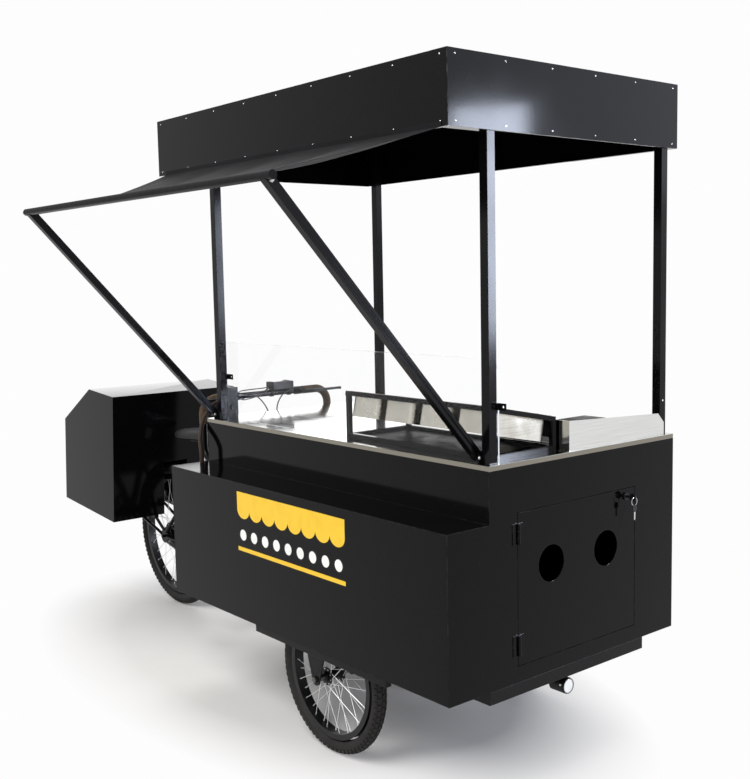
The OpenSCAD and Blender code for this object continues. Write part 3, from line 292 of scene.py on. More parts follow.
@dataclass(frozen=True)
class SheetWithPaintedSideShade(BareMetal):
    """Brushed sheet whose vertical faces, such as its rolled edge, get a darker colour as painted shade."""

    # Colour of the painted shade on the sheet's vertical faces.
    edge: str = "#8a857b"

    def dress(self, tree: Tree, shader: Node, place: Socket) -> None:
        """Links the sheet's lines and smudges, and paints shade on its vertical faces."""
        super().dress(tree, shader, place)
        normal = add(tree, "ShaderNodeNewGeometry").outputs["Normal"]
        level = add(tree, "ShaderNodeSeparateXYZ", {0: normal}).outputs["Z"]
        # Painted shade: vertical faces are mixed towards the darker edge colour.
        painted_side_shade = spread(tree, level, 1.0, 0.0, 0.3, 0.8)
        top = shader.inputs["Base Color"].links[0].from_socket
        feed(shader, "Base Color", mixed(tree, painted_side_shade, top, linear(self.edge)))


@dataclass(frozen=True)
class Moulded(Finish):
    """Moulded plastic or rubber: a fine pebbled skin with dust and scuffs in its colour."""

    pebble_mm: float = 2.5
    pebble_depth_mm: float = 0.08
    scuff_mm: float = 45.0
    scuff: float = 0.5

    def dress(self, tree: Tree, shader: Node, place: Socket) -> None:
        """Links the pebbled skin and scuffs, as Finish.dress says."""
        pebble = noise_at(tree, place, self.pebble_mm, 2.0)
        scuffs = spread(tree, noise_at(tree, place, self.scuff_mm, 5.0), 0.0, self.scuff, 0.45, 0.75)
        feed(shader, "Base Color", self.tones(tree, scuffs))
        feed(shader, "Roughness", spread(tree, scuffs, self.roughness, 0.9, 0.0, 1.5))
        feed(shader, "Normal", bumped(tree, pebble, self.pebble_depth_mm))


@dataclass(frozen=True)
class WovenCanvas(Finish):
    """Coated woven canvas: crossing threads, a dull sheen and sun-faded patches."""

    thread_mm: float = 6.0
    thread_depth_mm: float = 0.25
    fade_mm: float = 160.0
    sheen: float = 0.03

    def dress(self, tree: Tree, shader: Node, place: Socket) -> None:
        """Links threads, drawn coarser than real ones so that they show, and fading."""
        inputs = {"Vector": place, "Scale": per_metre(self.thread_mm) / 20, "Distortion": 0.6}
        waves = [add(tree, "ShaderNodeTexWave", inputs, bands_direction=way) for way in ("X", "Y")]
        cross = times(tree, waves[0].outputs["Fac"], waves[1].outputs["Fac"])
        faded = spread(tree, noise_at(tree, place, self.fade_mm, 4.0), 0.0, 0.8)
        feed(shader, "Base Color", self.tones(tree, faded))
        feed(shader, "Normal", bumped(tree, cross, self.thread_depth_mm))
        feed(shader, "Sheen Weight", self.sheen)
        feed(shader, "Sheen Roughness", 0.5)


@dataclass(frozen=True)
class ClearSheet(Finish):
    """Cast acrylic or lens glass: clear, with faint wiping marks in its gloss."""

    ior: float = 1.49
    wipe_mm: float = 60.0

    def dress(self, tree: Tree, shader: Node, place: Socket) -> None:
        """Links wiping marks, as Finish.dress says, and lets light through."""
        feed(shader, "Transmission Weight", 1.0)
        feed(shader, "IOR", self.ior)
        wiped = noise_at(tree, place, self.wipe_mm, 4.0)
        feed(shader, "Roughness", spread(tree, wiped, self.roughness, self.roughness * 3))
        tint = spread(tree, wiped, 0.0, 1.0)
        feed(shader, "Base Color", self.tones(tree, tint))


GLOSS_BLACK = PaintedSteel(
    "gloss_black_enamel", "black_gloss_paint", "#060607", "#b9b7b0", 0.07,
    specular=0.11, dust=0.012, edge_wear_and_highlight=0.12,
)
# On the fascia the lighter edge colour and the larger share of pale edges are painted highlight along its
# edges, with some real worn paint.
FASCIA_BLACK_PAINTED_EDGE_HIGHLIGHT = replace(GLOSS_BLACK, name="fascia_black_enamel_painted_edge_highlight", second="#dad8d2", edge_mm=2.4, edge_wear_and_highlight=0.6)
SATIN_BLACK = PaintedSteel(
    "satin_black_enamel", "black_satin_paint", "#08080a", "#a9a7a2", 0.12,
    specular=0.13, edge_wear_and_highlight=0.12, dust=0.012,
)
FRAME_BLACK = PaintedSteel(
    "frame_black_enamel", "dark_frame_paint", "#0b0b0c", "#8f8d88", 0.3,
    specular=0.14, edge_wear_and_highlight=0.1, dust=0.02,
)
ARM_BLACK = PaintedSteel(
    "arm_black_enamel", "arm_tube", "#0b0b0d", "#a9a7a2", 0.14,
    specular=0.12, edge_wear_and_highlight=0.15, dust=0.012,
)
# The counter's rolled edge and other vertical faces carry painted shade.
COUNTER_STEEL = SheetWithPaintedSideShade(
    "counter_stainless", "stainless", "#d9d9d6", "#c6c5c1", 0.1, 1.0,
    grain=Grain.ALONG_X, smudge=0.2,
)
STAINLESS = BareMetal(
    "brushed_stainless", "stainless", "#e0e0de", "#cbcbc8", 0.09, 1.0,
    grain=Grain.ALONG_Y, smudge=0.3,
)
PAN_STEEL = BareMetal(
    "drawn_stainless", "stainless", "#c9c5bb", "#a8a49b", 0.26, 1.0,
    grain=Grain.ALONG_Y, smudge=0.4,
)
CHROME = BareMetal("plated_chrome", "chrome", "#d6d7d8", "#a9aaab", 0.1, 1.0, smudge=0.3)
SPOKE_STEEL = BareMetal("spoke_steel", "spokes", "#eceded", "#cfd0d0", 0.42, 0.85)
CAST_IRON = BareMetal(
    "seasoned_iron", "griddle_iron", "#2b2a2a", "#3a322c", 0.45, 0.8,
    grain=Grain.ALONG_Y, line_mm=5.0,
)
CHAIN_STEEL = BareMetal("oiled_chain_steel", "chain_steel", "#6f6d69", "#3a342c", 0.35, 1.0)
MOTOR_CASE = BareMetal("black_cast_alloy", "motor", "#121214", "#1c1c1e", 0.4, 0.5, specular=0.3)
RIM_BLACK = Moulded(
    "black_anodised_rim", "rim", "#0a0a0b", "#121213", 0.4,
    specular=0.3, pebble_depth_mm=0.01, scuff=0.3,
)
TYRE_RUBBER = Moulded(
    "tyre_rubber", "tyre", "#1b1a19", "#32302e", 0.6,
    specular=0.25, pebble_mm=1.5, pebble_depth_mm=0.05,
)
BLACK_PLASTIC = Moulded("black_abs", "black_plastic", "#0b0b0c", "#17171a", 0.4, specular=0.3)
SCREEN_GLASS = Moulded(
    "display_glass", "black_plastic", "#0a0f16", "#10161e", 0.06,
    pebble_depth_mm=0.005, scuff=0.2,
)
BUTTON_RUBBER = Moulded("grey_button_rubber", "black_plastic", "#3a3b3e", "#2c2d30", 0.6, specular=0.3)
CABLE_SKIN = Moulded("cable_sheath", "cable_black", "#23252c", "#3a3d47", 0.35, pebble_depth_mm=0.01)
GRIP_RUBBER = Moulded(
    "brown_ribbed_rubber", "grip_wrap", "#55412c", "#2e2318", 0.5,
    specular=0.3, pebble_mm=4.0,
)
LOOM_WRAP = Moulded(
    "brown_loom_wrap", "loom_wrap", "#33231a", "#1d1410", 0.5,
    specular=0.3, pebble_mm=4.0,
)
SADDLE_VINYL = Moulded(
    "saddle_vinyl", "saddle", "#121213", "#1f1f21", 0.42,
    pebble_mm=1.8, pebble_depth_mm=0.12,
)
AWNING_CANVAS = WovenCanvas("charcoal_canvas", "awning_cloth", "#090a0b", "#131416", 0.66, specular=0.1)
ACRYLIC = ClearSheet("cast_acrylic", "acrylic", "#ffffff", "#fdfefe", 0.008, ior=1.16)
# Pale opaque band: painted highlight on the guard's clear edge.
ACRYLIC_EDGE_PAINTED_HIGHLIGHT = Moulded(
    "acrylic_edge_painted_highlight", "acrylic", "#f4f6f6", "#e6eaea", 0.2,
    specular=0.5, pebble_depth_mm=0.01, scuff=0.3,
)
LENS_GLASS = ClearSheet("lamp_glass", "lens", "#fafafa", "#eeeeec", 0.06, ior=1.52)
# An opaque pale face. On the headlamp it is a painted reflection of the reflector that would shine through
# clear glass.
LAMP_FACE = Moulded(
    "pale_lamp_face", "lens", "#f4f4f0", "#dcdcd8", 0.12,
    specular=0.8, pebble_depth_mm=0.02, scuff=0.3,
)
YELLOW_VINYL = Moulded(
    "yellow_vinyl_film", "", "#f0c21c", "#d9ab10", 0.3,
    pebble_depth_mm=0.01, scuff=0.4,
)
WHITE_VINYL = Moulded("white_vinyl_film", "", "#f1f1ee", "#d8d8d4", 0.3, pebble_depth_mm=0.01, scuff=0.4)


# Shapes


def smooth_path(points: Sequence[Sequence[float]], steps: int) -> list[Vector]:
    """Runs one smooth curve through points.

    Args:
        points: The points, in metres.
        steps: Pieces between two of them.

    Returns:
        Points along the curve.
    """
    p = [Vector(q) for q in points]
    path = []
    for i in range(len(p) - 1):
        a, b, c, d = p[max(i - 1, 0)], p[i], p[i + 1], p[min(i + 2, len(p) - 1)]
        for k in range(steps):
            f = k / steps
            bend = (2 * a - 5 * b + 4 * c - d) * f * f + (3 * b - a - 3 * c + d) * f**3
            path.append((2 * b + (c - a) * f + bend) / 2)
    return [*path, p[-1]]


def path_length(path: Points) -> float:
    """Length of a line of points."""
    return sum((b - a).length for a, b in zip(path, path[1:]))


def turns(count: int, start: float = 0.0) -> list[float]:
    """Even angles round a circle, the first of them start steps from 0."""
    return [2 * math.pi * (i + start) / count for i in range(count)]


def circle(middle: Vector, side: Vector, up: Vector, radius: float, sides: int) -> list[Vector]:
    """Corners of a round section in the plane of two unit directions."""
    return [middle + (side * math.cos(t) + up * math.sin(t)) * radius for t in turns(sides)]


def arc(middle: Vector, first: Vector, second: Vector, start: float, end: float, steps: int) -> list[Vector]:
    """Points of an arc between two angles in degrees, from first at 0 to second at 90."""
    angles = [math.radians(start + (end - start) * i / steps) for i in range(steps + 1)]
    return [middle + first * math.cos(t) + second * math.sin(t) for t in angles]


@dataclass
class Shape:
    """A mesh that grows by plain forms and then becomes one piece."""

    verts: list[Vector] = field(default_factory=list)
    faces: list[tuple[int, ...]] = field(default_factory=list)

    def grid(
        self, rows: Sequence[Points], ring: bool = False, loop: bool = False, caps: bool = False
    ) -> None:
        """Joins rows of points into faces.

        Args:
            rows: Rows with the same number of points.
            ring: Whether each row closes on itself.
            loop: Whether the last row joins the first.
            caps: Whether the first and last rows are closed by a face.
        """
        base, count, wide = len(self.verts), len(rows), len(rows[0])
        self.verts += [Vector(p) for row in rows for p in row]
        for r in range(count if loop else count - 1):
            for c in range(wide if ring else wide - 1):
                low, high = base + r * wide, base + (r + 1) % count * wide
                self.faces.append((low + c, low + (c + 1) % wide, high + (c + 1) % wide, high + c))
        if caps:
            last = base + (count - 1) * wide
            self.faces.append(tuple(range(base + wide - 1, base - 1, -1)))
            self.faces.append(tuple(range(last, last + wide)))

    def tube(
        self, path: Points, radius: float | Callable[[float], float], sides: int = 12, loop: bool = False
    ) -> None:
        """Sweeps a round section along a path.

        Args:
            path: Points along the middle.
            radius: The radius, or one for each distance along the path.
            sides: Sides of the section.
            loop: Whether the path closes on itself.
        """
        count, along, rows = len(path), 0.0, []
        side = None
        for i, point in enumerate(path):
            before = path[i - 1 if loop or i else 0]
            after = path[(i + 1) % count if loop else min(i + 1, count - 1)]
            ahead = (after - before).normalized()
            start = side or ahead.orthogonal()
            side = (start - ahead * start.dot(ahead)).normalized()
            along += (point - path[i - 1]).length if i else 0.0
            r = radius(along) if callable(radius) else radius
            rows.append(circle(point, side, ahead.cross(side), r, sides))
        self.grid(rows, ring=True, loop=loop, caps=not loop)

    def lathe(self, profile: Profile, base: Vector, ahead: Vector, sides: int, loop: bool = False) -> None:
        """Turns a profile about an axis.

        Args:
            profile: Radius and distance along the axis of each point, in mm.
            base: A point on the axis.
            ahead: The axis.
            sides: Sides of the round.
            loop: Whether the profile closes on itself.
        """
        ahead = ahead.normalized()
        side = ahead.orthogonal().normalized()
        up = ahead.cross(side)
        rows = [circle(base + ahead * (h * MM), side, up, r * MM, sides) for r, h in profile]
        self.grid(rows, ring=True, loop=loop, caps=not loop)

    def slab(self, outline: Points, rise: Vector) -> None:
        """Raises a flat outline into a plate, by its thickness and direction."""
        self.grid([list(outline), [p + rise for p in outline]], ring=True, caps=True)

    def block(self, low: Vector, high: Vector) -> None:
        """A box between two corners."""
        corners = ((low.x, low.y), (high.x, low.y), (high.x, high.y), (low.x, high.y))
        self.slab([Vector((x, y, low.z)) for x, y in corners], UP * (high.z - low.z))

    def mesh(self, name: str, sharp_deg: float = 38.0) -> Thing:
        """Makes a Blender object with clean, outward faces.

        Args:
            name: Name of the object.
            sharp_deg: Angle from which an edge stays sharp.

        Returns:
            The object, at the frame's origin.
        """
        data = bpy.data.meshes.new(name)
        data.from_pydata([tuple(v) for v in self.verts], [], self.faces)
        made = bmesh.new()
        made.from_mesh(data)
        bmesh.ops.remove_doubles(made, verts=made.verts, dist=1e-6)
        bmesh.ops.dissolve_degenerate(made, edges=made.edges, dist=1e-7)
        bmesh.ops.recalc_face_normals(made, faces=made.faces)
        for face in made.faces:
            face.smooth = True
        for edge in made.edges:
            edge.smooth = len(edge.link_faces) != 2 or edge.calc_face_angle(0.0) < math.radians(sharp_deg)
        made.to_mesh(data)
        made.free()
        thing = bpy.data.objects.new(name, data)
        bpy.context.scene.collection.objects.link(thing)
        return thing


def dressed(thing: Thing, finish: Finish) -> Thing:
    """Gives a new piece its finish.

    Args:
        thing: The piece.
        finish: Its finish.

    Returns:
        The piece.
    """
    thing.data.materials.append(finish.material())
    LOG.info("%s in %s", thing.name, finish.name)
    return thing


def piece(
    name: str, shape: Shape, finish: Finish, body: str, replaced: Iterable[str] = (), bevel_mm: float = 0.0
) -> Thing:
    """Makes a piece that rides on a body.

    Args:
        name: Its name.
        shape: Its form.
        finish: Its finish.
        body: The CAD body that it rides on.
        replaced: CAD nodes that it stands for.
        bevel_mm: Width of rounded edges, or 0.

    Returns:
        The piece.
    """
    thing = dressed(shape.mesh(name), finish)
    if bevel_mm:
        soften(thing, bevel_mm)
    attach(thing, body)
    if replaced:
        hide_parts(*replaced)
    return thing


def soften(thing: Thing, width_mm: float, sharp_deg: float = 32.0) -> None:
    """Rounds a rigid object's edges, so that they catch light.

    Args:
        thing: The object.
        width_mm: Width of the round.
        sharp_deg: Angle from which an edge is rounded.
    """
    weld = thing.modifiers.new("joined_corners", "WELD")
    weld.merge_threshold = 0.002 * MM
    bevel = thing.modifiers.new("rounded_edges", "BEVEL")
    bevel.width = width_mm * MM
    bevel.segments = 2
    bevel.limit_method = "ANGLE"
    bevel.angle_limit = math.radians(sharp_deg)
    bevel.use_clamp_overlap = True
    thing.modifiers.new("even_shading", "WEIGHTED_NORMAL").keep_sharp = True


def middle_of(node: str) -> Vector:
    """Middle of a CAD node's box."""
    low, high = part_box(node)
    return (low + high) / 2


# Camera, floor and light


@dataclass(frozen=True)
class Viewpoint:
    """Where the photograph was taken from, and its lens."""

    place: Vector = Vector((3.4723, -2.15665, 1.5224))
    yaw_deg: float = 50.63
    pitch_deg: float = -6.02
    roll_deg: float = 1.15
    focal_px: float = 1062.2
    long_side_px: float = 779.0
    sensor_mm: float = 36.0
    clip_end: float = 200.0

    def build(self) -> None:
        """Makes the camera and looks through it."""
        yaw, pitch, roll = (math.radians(a) for a in (self.yaw_deg, self.pitch_deg, self.roll_deg))
        level = Vector((-math.sin(yaw), math.cos(yaw), 0)) * math.cos(pitch)
        ahead = level + UP * math.sin(pitch)
        right = Vector((math.cos(yaw), math.sin(yaw), 0))
        down = ahead.cross(right)
        across = right * math.cos(roll) + down * math.sin(roll)
        below = down * math.cos(roll) - right * math.sin(roll)
        camera = bpy.data.objects.new("camera", bpy.data.cameras.new("camera"))
        camera.data.sensor_width = self.sensor_mm
        camera.data.lens = self.focal_px * self.sensor_mm / self.long_side_px
        camera.data.clip_end = self.clip_end
        turned = Matrix((across, -below, -ahead)).transposed().to_4x4()
        camera.matrix_world = Matrix.Translation(self.place) @ turned
        bpy.context.scene.collection.objects.link(camera)
        bpy.context.scene.camera = camera


@dataclass(frozen=True)
class Lamp:
    """A large soft lamp that the camera doesn't see."""

    name: str
    place: Vector
    size: tuple[float, float]
    watts: float
    aim: Vector = Vector((0.2, 0, 1.0))
    tint: str = "#ffffff"

    def hang(self) -> None:
        """Makes the lamp and turns it to what it lights."""
        data = bpy.data.lights.new(self.name, "AREA")
        data.shape = "RECTANGLE"
        data.size, data.size_y = self.size
        data.energy = self.watts
        data.color = linear(self.tint)[:3]
        lamp = bpy.data.objects.new(self.name, data)
        lamp.visible_camera = False
        lamp.location = self.place
        lamp.rotation_euler = (self.aim - self.place).to_track_quat("-Z", "Y").to_euler()
        bpy.context.scene.collection.objects.link(lamp)


WHITE = "#fdfdfd"
DAYLIGHT = "#e2ebff"
NEAR_POST = Vector((1.43, -0.06, 1.87))
LAMPS = (
    Lamp("key", Vector((1.5, -3.6, 4.6)), (3.0, 3.0), 260.0),
    Lamp("fill", Vector((-2.2, 1.5, 5.5)), (3.0, 3.0), 80.0),
    Lamp("front", Vector((4.9, 4.6, 2.9)), (3.0, 1.6), 24.0, tint=DAYLIGHT),
    Lamp("window", Vector((4.5, 3.05, 1.87)), (0.5, 1.55), 122.0, NEAR_POST, DAYLIGHT),
    Lamp("back", Vector((-6.5, 4.5, 1.9)), (7.0, 2.0), 45.0),
)


@dataclass
class Studio:
    """A pale studio: floor, white surroundings and lamps."""

    floor_half: float = 30.0
    floor_colour: str = "#edecea"
    floor_patches: str = "#e6e4e1"
    floor_roughness: float = 0.6
    patch_mm: float = 700.0
    fade_middle: tuple[float, float, float] = (0.0, 0.25, 0.0)
    fade_half: tuple[float, float, float] = (1.45, 0.75, 1.0)
    fade_from: float = 0.75
    fade_to: float = 1.15
    sky_colour: str = "#f6f5f3"
    sky_light: float = 0.42

    def floor(self) -> None:
        """Makes the floor, which fades to white away from the cart and keeps its shadow."""
        shape = Shape()
        corners = [Vector((x, y, 0)) * self.floor_half for x, y in SQUARE]
        shape.grid([corners[:2], [corners[3], corners[2]]])
        floor = shape.mesh("studio_floor")
        made, shader = new_material("studio_floor")
        tree = made.node_tree
        feed(shader, "Roughness", self.floor_roughness)
        place = add(tree, "ShaderNodeTexCoord").outputs["Object"]
        patches = spread(tree, noise_at(tree, place, self.patch_mm), 0.0, 1.0)
        tone = mixed(tree, patches, linear(self.floor_colour), linear(self.floor_patches))
        feed(shader, "Base Color", tone)
        moved = vector_math(tree, "SUBTRACT", place, self.fade_middle).outputs[0]
        scaled = vector_math(tree, "DIVIDE", moved, self.fade_half).outputs[0]
        away = vector_math(tree, "LENGTH", scaled).outputs["Value"]
        fade = spread(tree, away, 0.0, 1.0, self.fade_from, self.fade_to)
        white = add(tree, "ShaderNodeEmission", {"Color": linear(WHITE), "Strength": 1.0}).outputs[0]
        share = times(tree, fade, self.seen_ray(tree))
        both = add(tree, "ShaderNodeMixShader", {0: share, 1: shader.outputs[0], 2: white}).outputs[0]
        feed(tree.nodes["Material Output"], "Surface", both)
        floor.data.materials.append(made)

    @staticmethod
    def seen_ray(tree: Tree) -> Socket:
        """Tells camera, glossy and transmission rays from the others.

        Args:
            tree: The tree that gets the nodes.

        Returns:
            A socket that is 1 for them and 0 otherwise.
        """
        light = add(tree, "ShaderNodeLightPath")
        total = light.outputs["Is Camera Ray"]
        for name in ("Is Glossy Ray", "Is Transmission Ray"):
            inputs = {0: total, 1: light.outputs[name]}
            total = add(tree, "ShaderNodeMath", inputs, operation="MAXIMUM").outputs[0]
        return total

    def surroundings(self) -> None:
        """Makes the world: white where it is seen or mirrored, and plain soft light elsewhere."""
        world = bpy.data.worlds.new("studio")
        bpy.context.scene.world = world
        world.use_nodes = True
        tree = world.node_tree
        soft = tree.nodes["Background"]
        feed(soft, "Color", linear(self.sky_colour))
        feed(soft, "Strength", self.sky_light)
        white = add(tree, "ShaderNodeBackground", {"Color": linear(WHITE), "Strength": 1.0}).outputs[0]
        shares = {0: self.seen_ray(tree), 1: soft.outputs[0], 2: white}
        both = add(tree, "ShaderNodeMixShader", shares).outputs[0]
        feed(tree.nodes["World Output"], "Surface", both)

    def build(self) -> None:
        """Makes floor, surroundings and lamps."""
        self.floor()
        self.surroundings()
        for lamp in LAMPS:
            lamp.hang()
        bpy.context.scene.view_settings.view_transform = "Standard"


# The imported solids


@dataclass(frozen=True)
class Solids:
    """CAD nodes that share a finish, with the round of their edges."""

    finish: Finish
    nodes: tuple[str, ...]
    bevel_mm: float = 0.0

    def dress(self) -> None:
        """Gives each node its material and rounds its edges."""
        for name in self.nodes:
            node = frame["nodes"][name]
            node.data.materials.clear()
            node.data.materials.append(self.finish.material())
            if self.bevel_mm:
                soften(node, self.bevel_mm)
            LOG.info("%s in %s", name, self.finish.name)


PANELS = ("front_panel", "rear_panel", "serving_panel", "serving_shelf", "operator_panel", "roof_panel")
DOORS = ("front_door", "operator_door_front", "operator_door_rear", "rear_box", "rear_box_lid")
SOLIDS = (
    Solids(GLOSS_BLACK, PANELS + DOORS, 0.9),
    Solids(FASCIA_BLACK_PAINTED_EDGE_HIGHLIGHT, ("roof_fascia",), 0.9),
    Solids(SATIN_BLACK, ("roof_posts", "post_brackets", "pan_rack"), 0.8),
    Solids(SATIN_BLACK, ("handlebar", "wheel_hangers", "steering_yoke"), 0.8),
    Solids(SATIN_BLACK, ("bike_frame", "crankset")),
    Solids(FRAME_BLACK, ("chassis_frame", "floor_panel", "wheel_housings"), 0.8),
    Solids(ARM_BLACK, ("awning_arms", "awning_bar"), 1.2),
    Solids(COUNTER_STEEL, ("countertop",), 0.9),
    Solids(STAINLESS, ("splash_guard",), 0.9),
    Solids(PAN_STEEL, tuple(f"food_pan_{i}" for i in range(1, 5)), 0.4),
    Solids(ACRYLIC, ("sneeze_guard",), 0.5),
    Solids(CAST_IRON, ("griddle_plate",), 1.5),
    Solids(BLACK_PLASTIC, ("drip_tray", "control_unit", "switch_box", "headlamp_housing"), 1.2),
    Solids(BLACK_PLASTIC, ("brake_lever_left", "brake_lever_right", "pedal_left", "pedal_right"), 1.2),
    Solids(GRIP_RUBBER, ("handlebar_grips",)),
    Solids(LOOM_WRAP, ("cable_loom",)),
    Solids(CABLE_SKIN, ("brake_cables",)),
    Solids(LENS_GLASS, ("headlamp_lens",), 0.8),
    Solids(CHROME, ("seat_post",), 0.4),
    Solids(MOTOR_CASE, ("door_lock",), 0.4),
    Solids(CHAIN_STEEL, ("front_axles",), 0.6),
    Solids(TYRE_RUBBER, ("front_tyre_left", "front_tyre_right", "rear_tyre")),
    Solids(RIM_BLACK, ("front_rim_left", "front_rim_right", "rear_rim")),
    Solids(SPOKE_STEEL, ("front_hub_left", "front_hub_right")),
    Solids(MOTOR_CASE, ("rear_hub",)),
    Solids(CHAIN_STEEL, ("chain",)),
    Solids(SADDLE_VINYL, ("saddle",)),
    Solids(AWNING_CANVAS, ("awning_cloth",)),
)


def joint_at(name: str) -> Vector:
    """Place of a joint's axis."""
    return Vector(next(j["pos_m"] for j in frame["joints"] if j["name"] == name))


# Wheels


def both_sides(left: Profile) -> list[tuple[float, float]]:
    """A lathe's profile from its left half."""
    return [*left, *((r, -h) for r, h in reversed(left))]


@dataclass
class Wheel:
    """A spoked wheel on an axis along Y: treaded tyre and laced hub round the CAD rim."""

    kind: str
    suffix: str
    rows: int
    knob: tuple[float, float]
    knob_up: float = 3.4 * MM
    knob_leans: tuple[int, ...] = (-62, -31, 0, 31, 62)
    knob_skew: float = 0.22
    knob_foot: float = 1.12
    knob_top: float = 0.86
    rib_leans: tuple[int, ...] = (96, 118)
    rib_r: float = 0.7 * MM
    bead_deg: float = 146.0
    wall: float = 4.5 * MM
    spokes: int = 36
    cross_deg: float = 56.0
    spoke_r: float = 1.1 * MM
    spoke_side: float = 5 * MM
    nipple: float = 12 * MM
    valve_spoke: float = 9.5
    rim_depth: float = 17.5 * MM
    label: str = field(init=False)
    body: str = field(init=False)
    middle: Vector = field(init=False)
    radius: float = field(init=False)
    half_width: float = field(init=False)
    rim_inner: float = field(init=False)

    def __post_init__(self) -> None:
        """Takes the wheel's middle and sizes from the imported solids."""
        self.label = self.kind + self.suffix
        self.body = self.node("wheel")
        self.middle = joint_at(f"{self.body}_spin")
        low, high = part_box(self.node("tyre"))
        self.radius = (high.z - low.z) / 2
        self.half_width = (high.y - low.y) / 2
        rim_low, rim_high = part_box(self.node("rim"))
        self.rim_inner = (rim_high.z - rim_low.z) / 2 - self.rim_depth

    def node(self, part: str) -> str:
        """Name of one of the wheel's CAD parts, such as front_tyre_left."""
        return f"{self.kind}_{part}{self.suffix}"

    def place(self, turn: float, radius: float, side: float) -> Vector:
        """Point at a turn about the axle, a radius from it and a distance along it."""
        return self.middle + Vector((math.cos(turn) * radius, side, math.sin(turn) * radius))

    def on_tyre(self, turn: float, lean: float, out: float) -> Vector:
        """Point on the tyre's section, at a lean from its crown and a distance from the section's middle."""
        ring = self.radius - self.half_width
        return self.place(turn, ring + out * math.cos(lean), out * math.sin(lean))

    def carcass(self, shape: Shape, steps: int = 22, count: int = 120) -> None:
        """Adds the tyre's round casing, with its beads inside the rim.

        Args:
            shape: The mesh that gets it.
            steps: Pieces of its section.
            count: Sections round the wheel.
        """
        outer = self.half_width - self.knob_up
        inner = outer - self.wall
        reach = math.radians(self.bead_deg)
        leans = [reach * (2 * i / steps - 1) for i in range(steps + 1)]
        section = [(outer, a) for a in leans] + [(inner, a) for a in reversed(leans)]
        rows = [[self.on_tyre(t, a, r) for r, a in section] for t in turns(count)]
        shape.grid(rows, ring=True, loop=True)

    def knobs(self, shape: Shape) -> None:
        """Adds the tread: blocks in staggered rows, smaller and turned outward at the shoulders.

        Args:
            shape: The mesh that gets it.
        """
        long, wide = self.knob
        step = 2 * math.pi / self.rows
        foot = self.half_width - self.knob_up - MM
        levels = ((foot, self.knob_foot), (self.half_width, self.knob_top))
        for row in range(self.rows):
            for column, lean_deg in enumerate(self.knob_leans):
                turn = (row + 0.5 * (column % 2)) * step
                lean = math.radians(lean_deg)
                shoulder = abs(lean_deg) / max(self.knob_leans)
                half_turn = long / self.radius / 2 * (1 - 0.25 * shoulder)
                half_lean = wide / self.half_width / 2 * (1 + 0.15 * shoulder)
                skew = self.knob_skew * ((lean_deg > 0) - (lean_deg < 0))
                rows = []
                for out, grow in levels:
                    spots = [((a + skew * b) * half_turn * grow, b * half_lean * grow) for a, b in SQUARE]
                    rows.append([self.on_tyre(turn + t, lean + s, out) for t, s in spots])
                shape.grid(rows, ring=True, caps=True)

    def ribs(self, shape: Shape, count: int = 96) -> None:
        """Adds two fine moulding lines on each side wall.

        Args:
            shape: The mesh that gets them.
            count: Pieces of each line.
        """
        for side in (-1, 1):
            for lean_deg in self.rib_leans:
                lean = math.radians(lean_deg) * side
                path = [self.on_tyre(t, lean, self.half_width - self.knob_up) for t in turns(count)]
                shape.tube(path, self.rib_r, 5, loop=True)

    def lace(self, shape: Shape, flange_r: float, flange_y: float) -> None:
        """Adds crossed spokes from the hub's flanges to the rim.

        Args:
            shape: The mesh that gets them.
            flange_r: Radius of the spoke holes in a flange.
            flange_y: Distance of a flange from the wheel's middle.
        """
        for i, turn in enumerate(turns(self.spokes)):
            side = 1 if i % 2 else -1
            lead = 1 if i // 2 % 2 else -1
            crossed = turn + lead * math.radians(self.cross_deg)
            start = self.place(crossed, flange_r, side * flange_y + lead * 1.5 * MM)
            shape.tube([start, self.place(turn, self.rim_inner, side * self.spoke_side)], self.spoke_r, 6)
            head = (start - self.middle).normalized()
            shape.lathe([(2.2, -1.6), (2.2, 1.6)], start, ACROSS + head * 0.02, 8)

    def nipples(self) -> None:
        """Makes the bright nipples at the rim."""
        shape = Shape()
        for i, turn in enumerate(turns(self.spokes)):
            side = (1 if i % 2 else -1) * self.spoke_side
            inner = self.place(turn, self.rim_inner - self.nipple, side * 1.4)
            ahead = self.place(turn, self.rim_inner + MM, side) - inner
            shape.lathe([(1.6, 0), (1.9, 2), (1.9, 9), (2.6, ahead.length / MM)], inner, ahead, 8)
        piece(f"{self.label}_nipples", shape, SPOKE_STEEL, self.body)

    def valve(self) -> None:
        """Makes the tube's valve."""
        shape = Shape()
        start = self.place(2 * math.pi * self.valve_spoke / self.spokes, self.rim_inner + MM, 0)
        profile = [(3.2, 0), (3.2, 22), (2.5, 22), (2.5, 24), (4, 24), (4, 34), (3.2, 36)]
        shape.lathe(profile, start, self.middle - start, 12)
        piece(f"{self.label}_valve", shape, CHROME, self.body)

    def build(self) -> None:
        """Makes tyre, nipples and valve, and then the hub and spokes of this kind of wheel."""
        shape = Shape()
        self.carcass(shape)
        self.knobs(shape)
        self.ribs(shape)
        piece(f"{self.label}_tyre_tread", shape, TYRE_RUBBER, self.body, [self.node("tyre")])
        self.nipples()
        self.valve()
        self.core()

    def core(self) -> None:
        """Makes the hub and spokes of this kind of wheel."""
        raise NotImplementedError


